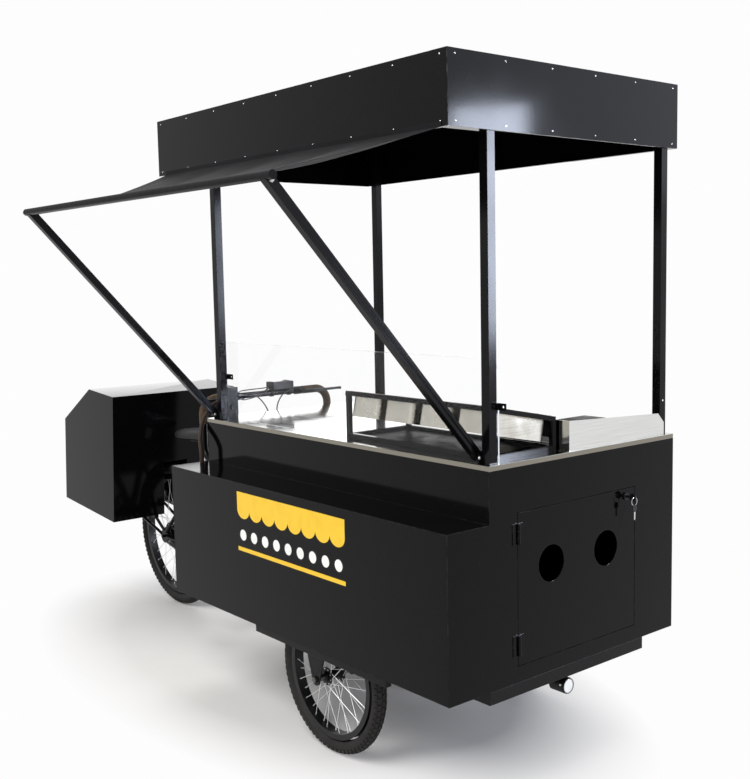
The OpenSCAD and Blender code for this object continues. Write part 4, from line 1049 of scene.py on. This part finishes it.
@dataclass
class FrontWheel(Wheel):
    """A cart wheel on a plain dark hub, whose sizes are in mm."""

    shell_r: float = 17.0
    flange_r: float = 29.0
    flange_y: float = 26.0
    bore: float = 10.4

    def core(self) -> None:
        """Makes the dark hub shell with its two flanges, and the laced spokes."""
        low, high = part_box(self.node("hub"))
        half = (high.y - low.y) / 2 / MM
        r, f, y = self.shell_r, self.flange_r, self.flange_y
        left = [(self.bore, -half), (r * 0.8, -half), (r, -half + 3), (r, -y - 3.5), (f - 1, -y - 2.5)]
        left += [(f, -y - 1.5), (f, -y + 1.5), (f - 1, -y + 2.5), (r + 2, -y + 3.5), (r - 2, -y + 10)]
        shell, laced = Shape(), Shape()
        shell.lathe(both_sides(left), self.middle, ACROSS, 40, loop=True)
        piece(f"{self.label}_hub_shell", shell, MOTOR_CASE, self.body, [self.node("hub")])
        self.lace(laced, (f - 4) * MM, y * MM)
        piece(f"{self.label}_laced_spokes", laced, SPOKE_STEEL, self.body)


@dataclass
class RearWheel(Wheel):
    """The driven wheel, laced round a hub motor with its cog."""

    motor_r: float = 60 * MM
    motor_half: float = 38 * MM
    fins: int = 24
    fin_r: tuple[float, float] = (30 * MM, 54 * MM)
    fin_half_turn: float = 0.02
    cover_screws: int = 8
    screw_ring: float = 51 * MM
    cog_teeth: int = 18
    cog_y: float = -52 * MM
    cog_t: float = 2.2 * MM
    pitch: float = 12.7 * MM
    tooth: Profile = ((0.0, -3.6), (0.18, -3.2), (0.36, 1.5), (0.5, 2.4), (0.64, 1.5), (0.82, -3.2))

    def core(self) -> None:
        """Makes the finned motor case, its cover screws, the cog and the laced spokes."""
        low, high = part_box(self.node("hub"))
        reach = (high.y - low.y) / 2 / MM
        r, half = self.motor_r / MM, self.motor_half / MM
        left = [(6.5, -reach), (14, -reach), (19, -reach + 4), (20, -half - 6), (34, -half - 2), (44, -half)]
        left += [(r - 4, -half), (r - 4, -half + 3), (r, -half + 3), (r, -half + 9), (r - 5, -half + 11)]
        case, laced = Shape(), Shape()
        case.lathe(both_sides(left), self.middle, ACROSS, 72, loop=True)
        inner, outer = self.fin_r
        corners = ((-1, inner), (1, inner), (1, outer), (-1, outer))
        for turn in turns(self.fins):
            spots = [(turn + s * self.fin_half_turn, a) for s, a in corners]
            edge = [self.place(t, a, -self.motor_half - 0.5 * MM) for t, a in spots]
            case.slab(edge, ACROSS * 2 * MM)
        piece("rear_motor_case", case, MOTOR_CASE, self.body, [self.node("hub")])
        self.lace(laced, self.motor_r - 2.5 * MM, self.motor_half - 6 * MM)
        piece("rear_laced_spokes", laced, SPOKE_STEEL, self.body)
        self.cog()
        self.screws()

    def cog(self) -> None:
        """Makes the toothed cog."""
        shape = Shape()
        radius = self.pitch / 2 / math.sin(math.pi / self.cog_teeth)
        outline = []
        for i in range(self.cog_teeth):
            for share, rise in self.tooth:
                turn = 2 * math.pi * (i + share) / self.cog_teeth
                outline.append(self.place(turn, radius + rise * MM, self.cog_y - self.cog_t / 2))
        shape.slab(outline, ACROSS * self.cog_t)
        piece("rear_cog", shape, CHAIN_STEEL, self.body)

    def screws(self) -> None:
        """Makes the motor cover's screws on both sides."""
        shape = Shape()
        for turn in turns(self.cover_screws, 0.5):
            for side in (-1, 1):
                at = self.place(turn, self.screw_ring, side * (self.motor_half - 0.2 * MM))
                shape.lathe([(3.4, 0), (3.4, 1.8), (2.4, 2.8)], at, ACROSS * side, 12)
        piece("rear_motor_screws", shape, CHROME, self.body)


# Awning


@dataclass
class Awning:
    """The canvas between the roof's lower edge and the bar."""

    sag: float = 25 * MM
    tight: float = 0.7
    fold: float = 5 * MM
    folds: float = 4.5
    fold_slant_deg: float = 120.0
    crease: float = 2.2 * MM
    crease_at: tuple[float, float, float] = (26.0, 3.0, 1.7)
    thick: float = 1.2 * MM
    columns: int = 120
    rows: int = 44
    wrap_deg: tuple[float, float] = (75.0, 205.0)
    wrap_gap: float = 0.3 * MM
    hem: float = 14 * MM
    cloth_box: tuple[Vector, Vector] = field(default_factory=lambda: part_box("awning_cloth"))
    bar_box: tuple[Vector, Vector] = field(default_factory=lambda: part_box("awning_bar"))

    def line(self, share: float) -> list[Vector]:
        """The canvas's section at one place along the bar.

        Args:
            share: Place from the rear end, 0, to the front end, 1.

        Returns:
            Points from the roof's edge over the sag and round the bar.
        """
        low, high = self.cloth_box
        bar_low, bar_high = self.bar_box
        bar = (bar_low + bar_high) / 2
        bar.x = low.x + (high.x - low.x) * share
        wrap_r = (bar_high.z - bar_low.z) / 2 + self.thick / 2 + self.wrap_gap
        wrap = arc(bar, ACROSS * wrap_r, UP * wrap_r, *self.wrap_deg, 12)
        top = Vector((bar.x, high.y - self.thick, high.z))
        start = top - UP * self.hem
        points = [top, top - UP * self.hem * 0.5]
        along, down, depth = self.crease_at
        taut = 1 - self.tight * max(0.0, 2 * share - 1) ** 2
        for i in range(self.rows):
            s = i / self.rows
            wave = math.sin(math.radians(360 * self.folds * share + self.fold_slant_deg * s))
            crease = noise.noise(Vector((share * along, s * down, depth))) * self.crease
            dip = 4 * s * (1 - s) * (taut * self.sag + self.fold * wave + crease)
            points.append(start.lerp(wrap[0], s) - UP * dip)
        return points + wrap

    def build(self) -> None:
        """Makes the canvas from the roof's edge to the bar, round which it wraps."""
        lines = [self.line(c / self.columns) for c in range(self.columns + 1)]
        sections = []
        for points in lines:
            pairs = zip([points[0], *points], [*points[1:], points[-1]])
            normals = [(after - before).cross(AHEAD).normalized() * self.thick / 2 for before, after in pairs]
            upper = [p + n for p, n in zip(points, normals)]
            lower = [p - n for p, n in zip(points, normals)]
            sections.append(upper + lower[::-1])
        shape = Shape()
        shape.grid(sections, ring=True, caps=True)
        cloth = dressed(shape.mesh("awning_canvas"), AWNING_CANVAS)
        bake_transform(cloth)
        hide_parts("awning_cloth")


# Cart body

SCREW_DOME = ((1.0, 0.0), (1.0, 0.25), (0.8, 0.5), (0.45, 0.62))
SCREW_CROSS = (0.55, 0.12)
CROSS_FOOT = 0.58
SCREW_RISE = 0.68


def screw_heads(name: str, places: Iterable[Vector], out: Vector, radius: float) -> None:
    """Makes a row of cross-head screws on the cart as one piece.

    Args:
        name: Name of the piece.
        places: Points on the face that the screws hold.
        out: The way that the face looks.
        radius: Radius of a head.
    """
    shape = Shape()
    side = out.orthogonal().normalized()
    dome = [(r * radius / MM, h * radius / MM) for r, h in SCREW_DOME]
    for at in places:
        shape.lathe(dome, at, out, 14)
        foot = at + out * radius * CROSS_FOOT
        for way in (side, out.cross(side)):
            long, wide = way * radius * SCREW_CROSS[0], out.cross(way) * radius * SCREW_CROSS[1]
            bar = [foot + long * s + wide * t for s, t in SQUARE]
            shape.slab(bar, out * radius * (SCREW_RISE - CROSS_FOOT))
    piece(name, shape, CHROME, "cart")


@dataclass
class Roof:
    """Screws that hold the roof's fascia to its frame."""

    inset: float = 14 * MM
    pitch: float = 195 * MM
    head_r: float = 2.7 * MM
    proud: float = 1.8 * MM

    def build(self) -> None:
        """Makes screws along both edges of the four sides.

        They are flush on the operator's side, where they would stand past the solids' box.
        """
        low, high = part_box("roof_fascia")
        edges = (low.z + self.inset, high.z - self.inset)
        rear, front = Vector((low.x, low.y, 0)), Vector((high.x, low.y, 0))
        far_rear, far_front = Vector((low.x, high.y, 0)), Vector((high.x, high.y, 0))
        for name, out, start, end, proud in (
            ("front", AHEAD, front, far_front, self.proud),
            ("rear", -AHEAD, rear, far_rear, self.proud),
            ("serving", -ACROSS, rear, front, self.proud),
            ("operator", ACROSS, far_rear, far_front, 0.0),
        ):
            step = (end - start).normalized() * 2 * self.inset
            first, last = start + step, end - step
            count = round((last - first).length / self.pitch)
            base = out * (proud - SCREW_RISE * self.head_r)
            spots = [first.lerp(last, i / count) + base + UP * z for i in range(count + 1) for z in edges]
            screw_heads(f"fascia_{name}_screws", spots, out, self.head_r)


@dataclass
class ServingSide:
    """Vinyl design on the serving panel: a scalloped band, a row of dots and a thin line."""

    film: float = 0.3 * MM
    left: float = 0.40
    right: float = 1.00
    band_z: float = 0.745
    band_h: float = 60 * MM
    scallops: int = 8
    scallop_h: float = 0.42
    dots: int = 9
    dot_r: float = 19 * MM
    dot_drop: float = 88 * MM
    line_h: float = 14 * MM
    line_drop: float = 145 * MM

    def build(self) -> None:
        """Makes the yellow and the white film."""
        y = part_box("serving_panel")[0].y
        lift = -ACROSS * self.film
        yellow, white = Shape(), Shape()
        long = self.right - self.left
        wide = long / self.scallops
        outline = [Vector((x, y, self.band_z + self.band_h)) for x in (self.right, self.left)]
        for i in range(self.scallops):
            middle = Vector((self.left + (i + 0.5) * wide, y, self.band_z))
            outline += arc(middle, -AHEAD * wide / 2, -UP * wide * self.scallop_h, 0, 174, 14)
        yellow.slab([*outline, Vector((self.right, y, self.band_z))], lift)
        line = Vector((self.left, y, self.band_z - self.line_drop))
        yellow.block(line + lift, line + AHEAD * long + UP * self.line_h)
        for i in range(self.dots):
            x = self.left + (i + 0.5) * long / self.dots
            middle = Vector((x, y, self.band_z - self.dot_drop))
            white.slab(arc(middle, AHEAD * self.dot_r, UP * self.dot_r, 0, 350, 35), lift)
        piece("serving_vinyl_yellow", yellow, YELLOW_VINYL, "cart")
        piece("serving_vinyl_white", white, WHITE_VINYL, "cart")


@dataclass
class FrontDoor:
    """The key ring in the door's lock."""

    ring_r: float = 13 * MM
    wire: float = 1.1 * MM
    hole_in: float = 6 * MM
    fob_half: tuple[float, float] = (10 * MM, 11 * MM)
    fob_drop: float = 9 * MM
    fob_t: float = 2.6 * MM
    key_drop: float = 19 * MM
    key_t: float = 1.8 * MM
    blade: Profile = (
        (-3.6, 0), (3.6, 0), (3.6, -8), (2.2, -11), (3.6, -14), (2.4, -18), (3.4, -22), (0, -27), (-3.6, -23),
    )

    def build(self) -> None:
        """Makes ring, spare key and fob, which turn with the lock."""
        lock = joint_at("door_lock_turn")
        hole = Vector((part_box("door_lock")[1].x - self.hole_in, lock.y, lock.z))
        middle = hole - UP * (self.ring_r - 1.2 * MM)
        foot = middle - UP * self.ring_r
        ring, key, fob = Shape(), Shape(), Shape()
        round_ring = arc(middle, ACROSS * self.ring_r, UP * self.ring_r, 0, 350, 35)
        ring.tube(round_ring, self.wire, 8, loop=True)
        piece("lock_key_ring", ring, CHROME, "door_lock")
        wide, high = self.fob_half
        oval = arc(foot - UP * self.fob_drop, ACROSS * wide, UP * high, 0, 340, 17)
        fob.slab(oval, AHEAD * self.fob_t)
        at = foot - UP * self.key_drop
        key.slab([at + Vector((0.4, a, b)) * MM for a, b in self.blade], AHEAD * self.key_t)
        piece("lock_spare_key", key, CHROME, "door_lock", bevel_mm=0.3)
        piece("lock_key_fob", fob, BLACK_PLASTIC, "door_lock", bevel_mm=0.6)


@dataclass
class Headlamp:
    """Fluted lens face, pale as a painted reflection of the lamp's reflector, its two rings and the clamp
    screw of the lamp under the front, in mm.
    """

    ring: float = 2.2
    black_ring: float = 1.8
    flutes: int = 8
    flute_pitch: float = 2.0
    flute_deep: float = 0.5
    foot: float = 0.1
    lap: float = 0.2
    screw_turn_deg: float = 15.0

    def build(self) -> None:
        """Makes the lens, the bright and the black ring round it, and the screw on the housing."""
        low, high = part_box("headlamp_lens")
        radius, deep = (high.z - low.z) / 2 / MM, (high.x - low.x) / MM
        base = middle_of("headlamp_lens")
        base.x = low.x
        edge = radius - self.ring - 1
        lens = Shape()
        profile = [(edge, self.foot), (edge, deep - 1.6)]
        for i in range(self.flutes):
            profile.append((edge - 1.6 - self.flute_pitch * i, deep - 1.2 + self.flute_deep * (i % 2)))
        lens.lathe(profile, base, AHEAD, 48)
        # The lens face is opaque and pale: a painted reflection of the lamp's reflector.
        piece("headlamp_fluted_lens_painted_reflection", lens, LAMP_FACE, "cart", ["headlamp_lens"])
        for name, finish, wide, front, chamfer in (
            ("headlamp_bezel", CHROME, self.ring, deep - 0.3, 0.8),
            ("headlamp_black_ring", BLACK_PLASTIC, self.black_ring, deep, 0.6),
        ):
            inner, edge = edge - self.lap, edge + wide
            profile = [(inner, self.foot), (edge, self.foot), (edge, front - 0.6)]
            profile += [(edge - chamfer, front), (inner, front)]
            shape = Shape()
            shape.lathe(profile, base, AHEAD, 48, loop=True)
            piece(name, shape, finish, "cart")
        turn = math.radians(self.screw_turn_deg)
        out = Vector((0, -math.cos(turn), math.sin(turn)))
        screw_heads("headlamp_screw", [base - AHEAD * 8 * MM + out * (radius + 1.6) * MM], out, 4 * MM)


@dataclass
class Guard:
    """A pale band on the sneeze guard's edge: painted highlight for the light that the clear edge gathers."""

    round_r: float = 40 * MM
    film: float = 0.2 * MM

    def build(self) -> None:
        """Makes a thin band of painted highlight up one side, over the top and down the other."""
        low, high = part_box("sneeze_guard")
        r = self.round_r
        edge = [(Vector((low.x, low.y, low.z)), -AHEAD)]
        for x, start, end in ((low.x + r, 180, 90), (high.x - r, 90, 0)):
            middle = Vector((x, low.y, high.z - r))
            edge += [(middle + out * r, out) for out in arc(Vector(), AHEAD, UP, start, end, 12)]
        edge.append((Vector((high.x, low.y, low.z)), AHEAD))
        deep = ACROSS * (high.y - low.y)
        shape = Shape()
        rows = [[p, p + deep, p + deep + out * self.film, p + out * self.film] for p, out in edge]
        shape.grid(rows, ring=True, caps=True)
        piece("guard_edge_painted_highlight", shape, ACRYLIC_EDGE_PAINTED_HIGHLIGHT, "cart")


@dataclass
class Posts:
    """Bolts where the posts and the awning's arms are fixed."""

    post: float = 30 * MM
    screws_up: tuple[float, float] = (40 * MM, 110 * MM)
    lug_in: float = 9 * MM
    bar_bolt: Vector = Vector((0, 8, -9)) * MM
    bolt: Profile = ((7.4, 0), (7.4, 1.5), (6, 1.5), (6, 4.6))

    def build(self) -> None:
        """Makes screws on the operator's front post, and bolts at the arms' brackets and both ends."""
        low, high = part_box("roof_posts")
        face, middle = high.x - 0.3 * MM, high.y - self.post / 2
        spots = [Vector((face, middle, low.z + up)) for up in self.screws_up]
        screw_heads("front_post_screws", spots, AHEAD, 3.6 * MM)
        arm_low, arm_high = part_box("awning_arms")
        pivot = joint_at("awning_fold")
        lugs = [Vector((x, pivot.y - self.lug_in, pivot.z)) for x in (low.x, high.x - self.post)]
        screw_heads("bracket_bolts", lugs, AHEAD, 5.5 * MM)
        bolts = Shape()
        for x, side in ((arm_low.x, -1), (arm_high.x, 1)):
            for at in (pivot, middle_of("awning_bar") + self.bar_bolt):
                bolts.lathe(self.bolt, Vector((x - side * 0.4 * MM, at.y, at.z)), AHEAD * side, 6)
        piece("awning_arm_bolts", bolts, CHROME, "awning")


@dataclass
class SwitchBox:
    """Screws and pilot light of the switch box, with their places in mm from its low corner."""

    screws: Profile = ((12, 12), (12, 100), (28, 12), (28, 100))
    light: tuple[float, float] = (20, 40)
    dome: Profile = ((5, 0), (5, 1), (4, 2.6), (1.5, 3.6))

    def build(self) -> None:
        """Makes the box's screws and the pale pilot light on its serving side."""
        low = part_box("switch_box")[0]
        *spots, at = [low + Vector((x, 0, z)) * MM for x, z in (*self.screws, self.light)]
        screw_heads("switch_box_screws", spots, -ACROSS, 2.4 * MM)
        lamp = Shape()
        lamp.lathe(self.dome, at, -ACROSS, 20)
        piece("switch_pilot_light", lamp, LAMP_FACE, "cart")


@dataclass
class OperatorSide:
    """Black strips behind the gaps round the operator's doors, painted shade that keeps light from showing
    through the gaps.
    """

    thick: float = 2.5 * MM
    half: float = 7 * MM
    gap: float = 2 * MM

    def build(self) -> None:
        """Makes a dark strip of painted shade behind each door's four edges."""
        shape = Shape()
        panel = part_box("operator_panel")[0].y
        back = panel - self.thick
        for door in ("operator_door_front", "operator_door_rear"):
            low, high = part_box(door)
            for z in (low.z - self.gap / 2, high.z + self.gap / 2):
                shape.block(Vector((low.x, back, z - self.half)), Vector((high.x, panel, z + self.half)))
            for x in (low.x, high.x):
                shape.block(Vector((x - self.half, back, low.z)), Vector((x + self.half, panel, high.z)))
        piece("operator_door_gap_shade_strips", shape, BLACK_PLASTIC, "cart")


# Handlebar


@dataclass
class ControlUnit:
    """Display and three buttons on top of the control unit."""

    screen: Vector = Vector((30, 54, 1.2)) * MM
    inset: float = 9 * MM
    sunk: float = 0.2 * MM
    button: Profile = ((5, 0), (5, 1.8), (3.5, 2.6))
    apart: float = 14 * MM

    def build(self) -> None:
        """Makes the dark display and the rubber buttons beside it."""
        low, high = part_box("control_unit")
        middle, top = (low.x + high.x) / 2, high.z - self.sunk
        start = Vector((middle - self.screen.x / 2, low.y + self.inset, top))
        display, buttons = Shape(), Shape()
        display.block(start, start + self.screen)
        piece("control_display", display, SCREEN_GLASS, "cart", bevel_mm=0.3)
        for i in (-1, 0, 1):
            at = Vector((middle + i * self.apart, high.y - 2 * self.inset, top))
            buttons.lathe(self.button, at, UP, 20)
        piece("control_buttons", buttons, BUTTON_RUBBER, "cart")


@dataclass
class Handlebar:
    """Ribbed grips, wrapped loom, brake cables and the control unit's leads."""

    grip_straight: float = 70 * MM
    grip_down: float = 35 * MM
    bend_r: float = 60 * MM
    rib_pitch: float = 6 * MM
    rib_share: float = 0.72
    rib_deep: float = 1.3 * MM
    cable_r: float = 2.5 * MM
    lead_r: float = 2.2 * MM
    lead_out: float = 14 * MM
    lead_wave: float = 12 * MM
    loom_r_mm: tuple[float, float] = (8.5, 7.6)
    wrap_pitch_mm: float = 9.0
    wrap_wide_mm: float = 6.5
    cable_points: tuple[tuple[float, float, float], ...] = (
        (18, 117, 7), (18, 109, 7), (18, 101, 7), (22, 62, -8), (30, 28, -50),
        (48, 14, -110), (66, 12, -146), (84, 12, -160), (92, 12, -160), (100, 12, -160),
    )
    loom_points: tuple[tuple[float, float, float], ...] = (
        (0, 85, 60), (-9, 85, 60), (-18, 85, 60), (-36, 45, 42), (-32, 0, -10),
        (-6, -31, -70), (14, -41, -112), (18, -41, -136), (18, -41, -150), (18, -41, -164),
    )

    def __post_init__(self) -> None:
        """Takes the bar's middle and the grips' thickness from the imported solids."""
        low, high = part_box("handlebar_grips")
        self.grip_r = (high.x - low.x) / 2
        self.leg = (high.y - low.y) / 2 - self.grip_r
        self.bar = Vector(((low.x + high.x) / 2, (low.y + high.y) / 2, high.z - self.grip_r))

    def grip_path(self, side: int, straight: int = 24, turned: int = 36, down: int = 14) -> list[Vector]:
        """Middle line of one grip, round the bar's bend and down its leg.

        Args:
            side: -1 for the serving side, 1 for the operator's.
            straight: Pieces along the bar.
            turned: Pieces of the bend.
            down: Pieces along the leg.

        Returns:
            Points along the line.
        """
        bend = self.leg - self.bend_r
        reach = [bend - self.grip_straight * (1 - i / straight) for i in range(straight)]
        start = [self.bar + Vector((0, side * y, 0)) for y in reach]
        corner = self.bar + Vector((0, side * bend, -self.bend_r))
        turn = arc(corner, UP * self.bend_r, Vector((0, side * self.bend_r, 0)), 0, 90, turned)
        end = [turn[-1] - UP * self.grip_down * (i + 1) / down for i in range(down)]
        return start + turn + end

    def ribbed(self, along: float) -> float:
        """Radius of a grip at a distance along it."""
        return self.grip_r - (self.rib_deep if along / self.rib_pitch % 1.0 > self.rib_share else 0.0)

    def wrapped(self, along: float) -> float:
        """Radius of the loom at a distance along it."""
        return self.loom_r_mm[0 if along / MM % self.wrap_pitch_mm < self.wrap_wide_mm else 1] * MM

    def leads(self) -> None:
        """Makes the thin leads from the control unit along the bar to the switch box."""
        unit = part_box("control_unit")[0]
        box_low, box_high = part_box("switch_box")
        out = ACROSS * self.lead_out
        shape = Shape()
        for i in range(3):
            start = unit + Vector((18 + 9 * i, 2, 38)) * MM
            end = Vector((box_low.x, box_high.y, box_low.z)) + Vector((14 + 6 * i, -2, 88 - 12 * i)) * MM
            sag = (4 - 11 * i) * MM
            route = [start, start - out]
            for f in (0.2, 0.4, 0.6, 0.8):
                wave = Vector((self.lead_wave * math.sin(5 * f + i), 0, 4 * f * (1 - f) * sag))
                route.append(start.lerp(end, f) + wave)
            shape.tube(smooth_path([*route, end + out, end], 8), self.lead_r, 8)
        piece("control_leads", shape, CABLE_SKIN, "cart")

    def build(self) -> None:
        """Makes grips, cables, leads and loom."""
        grips, cables, loom = Shape(), Shape(), Shape()
        for side in (-1, 1):
            grips.tube(smooth_path(self.grip_path(side), 3), self.ribbed, 24)
            points = [self.bar + Vector((x, side * y, z)) * MM for x, y, z in self.cable_points]
            cables.tube(smooth_path(points, 10), self.cable_r, 12)
        piece("ribbed_grips", grips, GRIP_RUBBER, "cart", ["handlebar_grips"])
        piece("smooth_brake_cables", cables, CABLE_SKIN, "cart", ["brake_cables"])
        self.leads()
        counter_low, counter_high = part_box("countertop")
        edge = Vector((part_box("switch_box")[0].x, counter_low.y, counter_high.z))
        points = [edge + Vector(p) * MM for p in self.loom_points]
        loom.tube(smooth_path(points, 24), self.wrapped, 16)
        piece("wrapped_loom", loom, LOOM_WRAP, "cart", ["cable_loom"])


# Rear half of the bicycle


@dataclass
class Chain:
    """Links round the chainring and the cog."""

    ring_teeth: int = 42
    cog_teeth: int = 18
    pitch: float = 12.7 * MM
    line_out: float = 2 * MM
    plate_t: float = 1.1 * MM
    plate_h: float = 8.4 * MM
    plate_out: tuple[float, float] = (1.7 * MM, 2.9 * MM)
    pin: Profile = ((2.0, -3.4), (2.0, 3.4))
    roller: Profile = ((3.8, -1.1), (3.8, 1.1))

    def radius(self, teeth: int) -> float:
        """Radius of the chain's middle line round a toothed wheel."""
        return self.pitch / 2 / math.sin(math.pi / teeth) + self.line_out

    def route(self) -> list[Vector]:
        """Runs the chain's middle line round both wheels.

        Returns:
            Fine points along the line, the first of them again at its end.
        """
        crank, axle = joint_at("crank_spin"), joint_at("rear_wheel_spin")
        crank.y = axle.y = middle_of("chain").y
        big, small = self.radius(self.ring_teeth), self.radius(self.cog_teeth)
        apart = axle - crank
        base = math.degrees(math.atan2(apart.z, apart.x))
        lean = math.degrees(math.acos((big - small) / apart.length))
        far = arc(crank, AHEAD * big, UP * big, base + lean, base + 360 - lean, 240)
        near = arc(axle, AHEAD * small, UP * small, base - lean, base + lean, 120)
        return [*far, *near, far[0]]

    def links(self) -> list[Vector]:
        """Spaces the chain's pins evenly along its line.

        Returns:
            The pins in order.
        """
        path = self.route()
        count = 2 * round(path_length(path) / self.pitch / 2)
        step = path_length(path) / count
        pins, left = [], 0.0
        for a, b in zip(path, path[1:]):
            span = (b - a).length
            while left <= span and len(pins) < count:
                pins.append(a.lerp(b, left / span))
                left += step
            left -= span
        return pins

    def build(self) -> None:
        """Makes plates and rollers, every other link between the plates of its neighbours."""
        pins = self.links()
        shape = Shape()
        for i, at in enumerate(pins):
            after = pins[(i + 1) % len(pins)]
            ahead = (after - at).normalized() * self.plate_h / 2
            up = ACROSS.cross(ahead)
            ends = arc(after, ahead, up, -60, 60, 4) + arc(at, ahead, up, 120, 240, 4)
            for way in (-1, 1):
                base = ACROSS * (way * self.plate_out[i % 2] - self.plate_t / 2)
                shape.slab([p + base for p in ends], ACROSS * self.plate_t)
            shape.lathe(self.pin, at, ACROSS, 8)
            shape.lathe(self.roller, at, ACROSS, 10)
        piece("chain_links", shape, CHAIN_STEEL, "bicycle", ["chain"])


@dataclass
class Saddle:
    """A padded saddle with piping along its edge, narrow at its nose."""

    crown_share: float = 0.6
    nose_half: float = 21 * MM
    groove_deep: float = 5 * MM
    groove_half: float = 14 * MM
    within: float = 0.985
    piping_r: float = 1.5 * MM
    rings: int = 60
    sides: int = 48

    def __post_init__(self) -> None:
        """Takes the saddle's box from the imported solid."""
        self.low, self.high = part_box("saddle")

    def half(self, s: float) -> float:
        """Half of the saddle's width at a share of its length from the nose."""
        turn = math.sin(math.pi / 2 * min(1.0, max(0.0, s * 1.35 - 0.3)))
        return self.nose_half + ((self.high.y - self.low.y) / 2 - self.nose_half) * turn**1.6

    @staticmethod
    def end(s: float) -> float:
        """How far a section is drawn in, near the saddle's two ends."""
        return max(0.02, 1 - abs(2 * s - 1) ** 8) ** 0.5

    def section(self, s: float) -> list[Vector]:
        """Points round the saddle, with a groove along its crown.

        Args:
            s: Share of its length from the nose.

        Returns:
            The points in order, from the edge on the operator's side.
        """
        size = self.high - self.low
        crown, belly = size.z * self.crown_share, size.z * (1 - self.crown_share)
        wide = self.half(s) * self.end(s) * self.within
        x = self.high.x - size.x * (0.004 + 0.992 * s)
        middle = Vector((x, (self.low.y + self.high.y) / 2, self.low.z + belly))
        points = []
        for turn in turns(self.sides):
            c, d = math.cos(turn), math.sin(turn)
            y = wide * math.copysign(abs(c) ** (0.8 if d > 0 else 0.7), c)
            z = -belly * abs(d) ** 0.3 * 0.97
            if d > 0:
                groove = self.groove_deep * math.exp(-((y / self.groove_half) ** 2))
                groove *= min(1.0, 4 * s * (1 - s))
                z = crown * self.end(s) * d**0.7 * (0.82 + 0.18 * s) * self.within - groove * d
            points.append(middle + Vector((0, y, z)))
        return points

    def build(self) -> None:
        """Makes the padded cover and the piping along its edge."""
        cover, piping = Shape(), Shape()
        sections = [self.section(i / self.rings) for i in range(self.rings + 1)]
        cover.grid(sections, ring=True, caps=True)
        piece("saddle_cover", cover, SADDLE_VINYL, "seat", ["saddle"])
        edges = [ring[0] for ring in sections[2:-2]] + [ring[self.sides // 2] for ring in sections[-3:1:-1]]
        piping.tube([p - UP * 0.8 * MM for p in edges], self.piping_r, 8, loop=True)
        piece("saddle_piping", piping, SADDLE_VINYL, "seat")


ASSEMBLIES = (
    Roof(),
    Awning(),
    Guard(),
    Posts(),
    ServingSide(),
    FrontDoor(),
    OperatorSide(),
    Headlamp(),
    SwitchBox(),
    Handlebar(),
    ControlUnit(),
    Chain(),
    Saddle(),
    *(FrontWheel("front", suffix, 74, (15 * MM, 9 * MM)) for suffix in ("_left", "_right")),
    RearWheel("rear", "", 88, (17 * MM, 10 * MM)),
)


def main() -> None:
    """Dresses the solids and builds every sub-assembly."""
    logging.basicConfig(level=logging.INFO, format="%(name)s: %(message)s")
    Viewpoint().build()
    Studio().build()
    for solids in SOLIDS:
        solids.dress()
    for assembly in ASSEMBLIES:
        assembly.build()


if __name__ == "__main__":
    main()
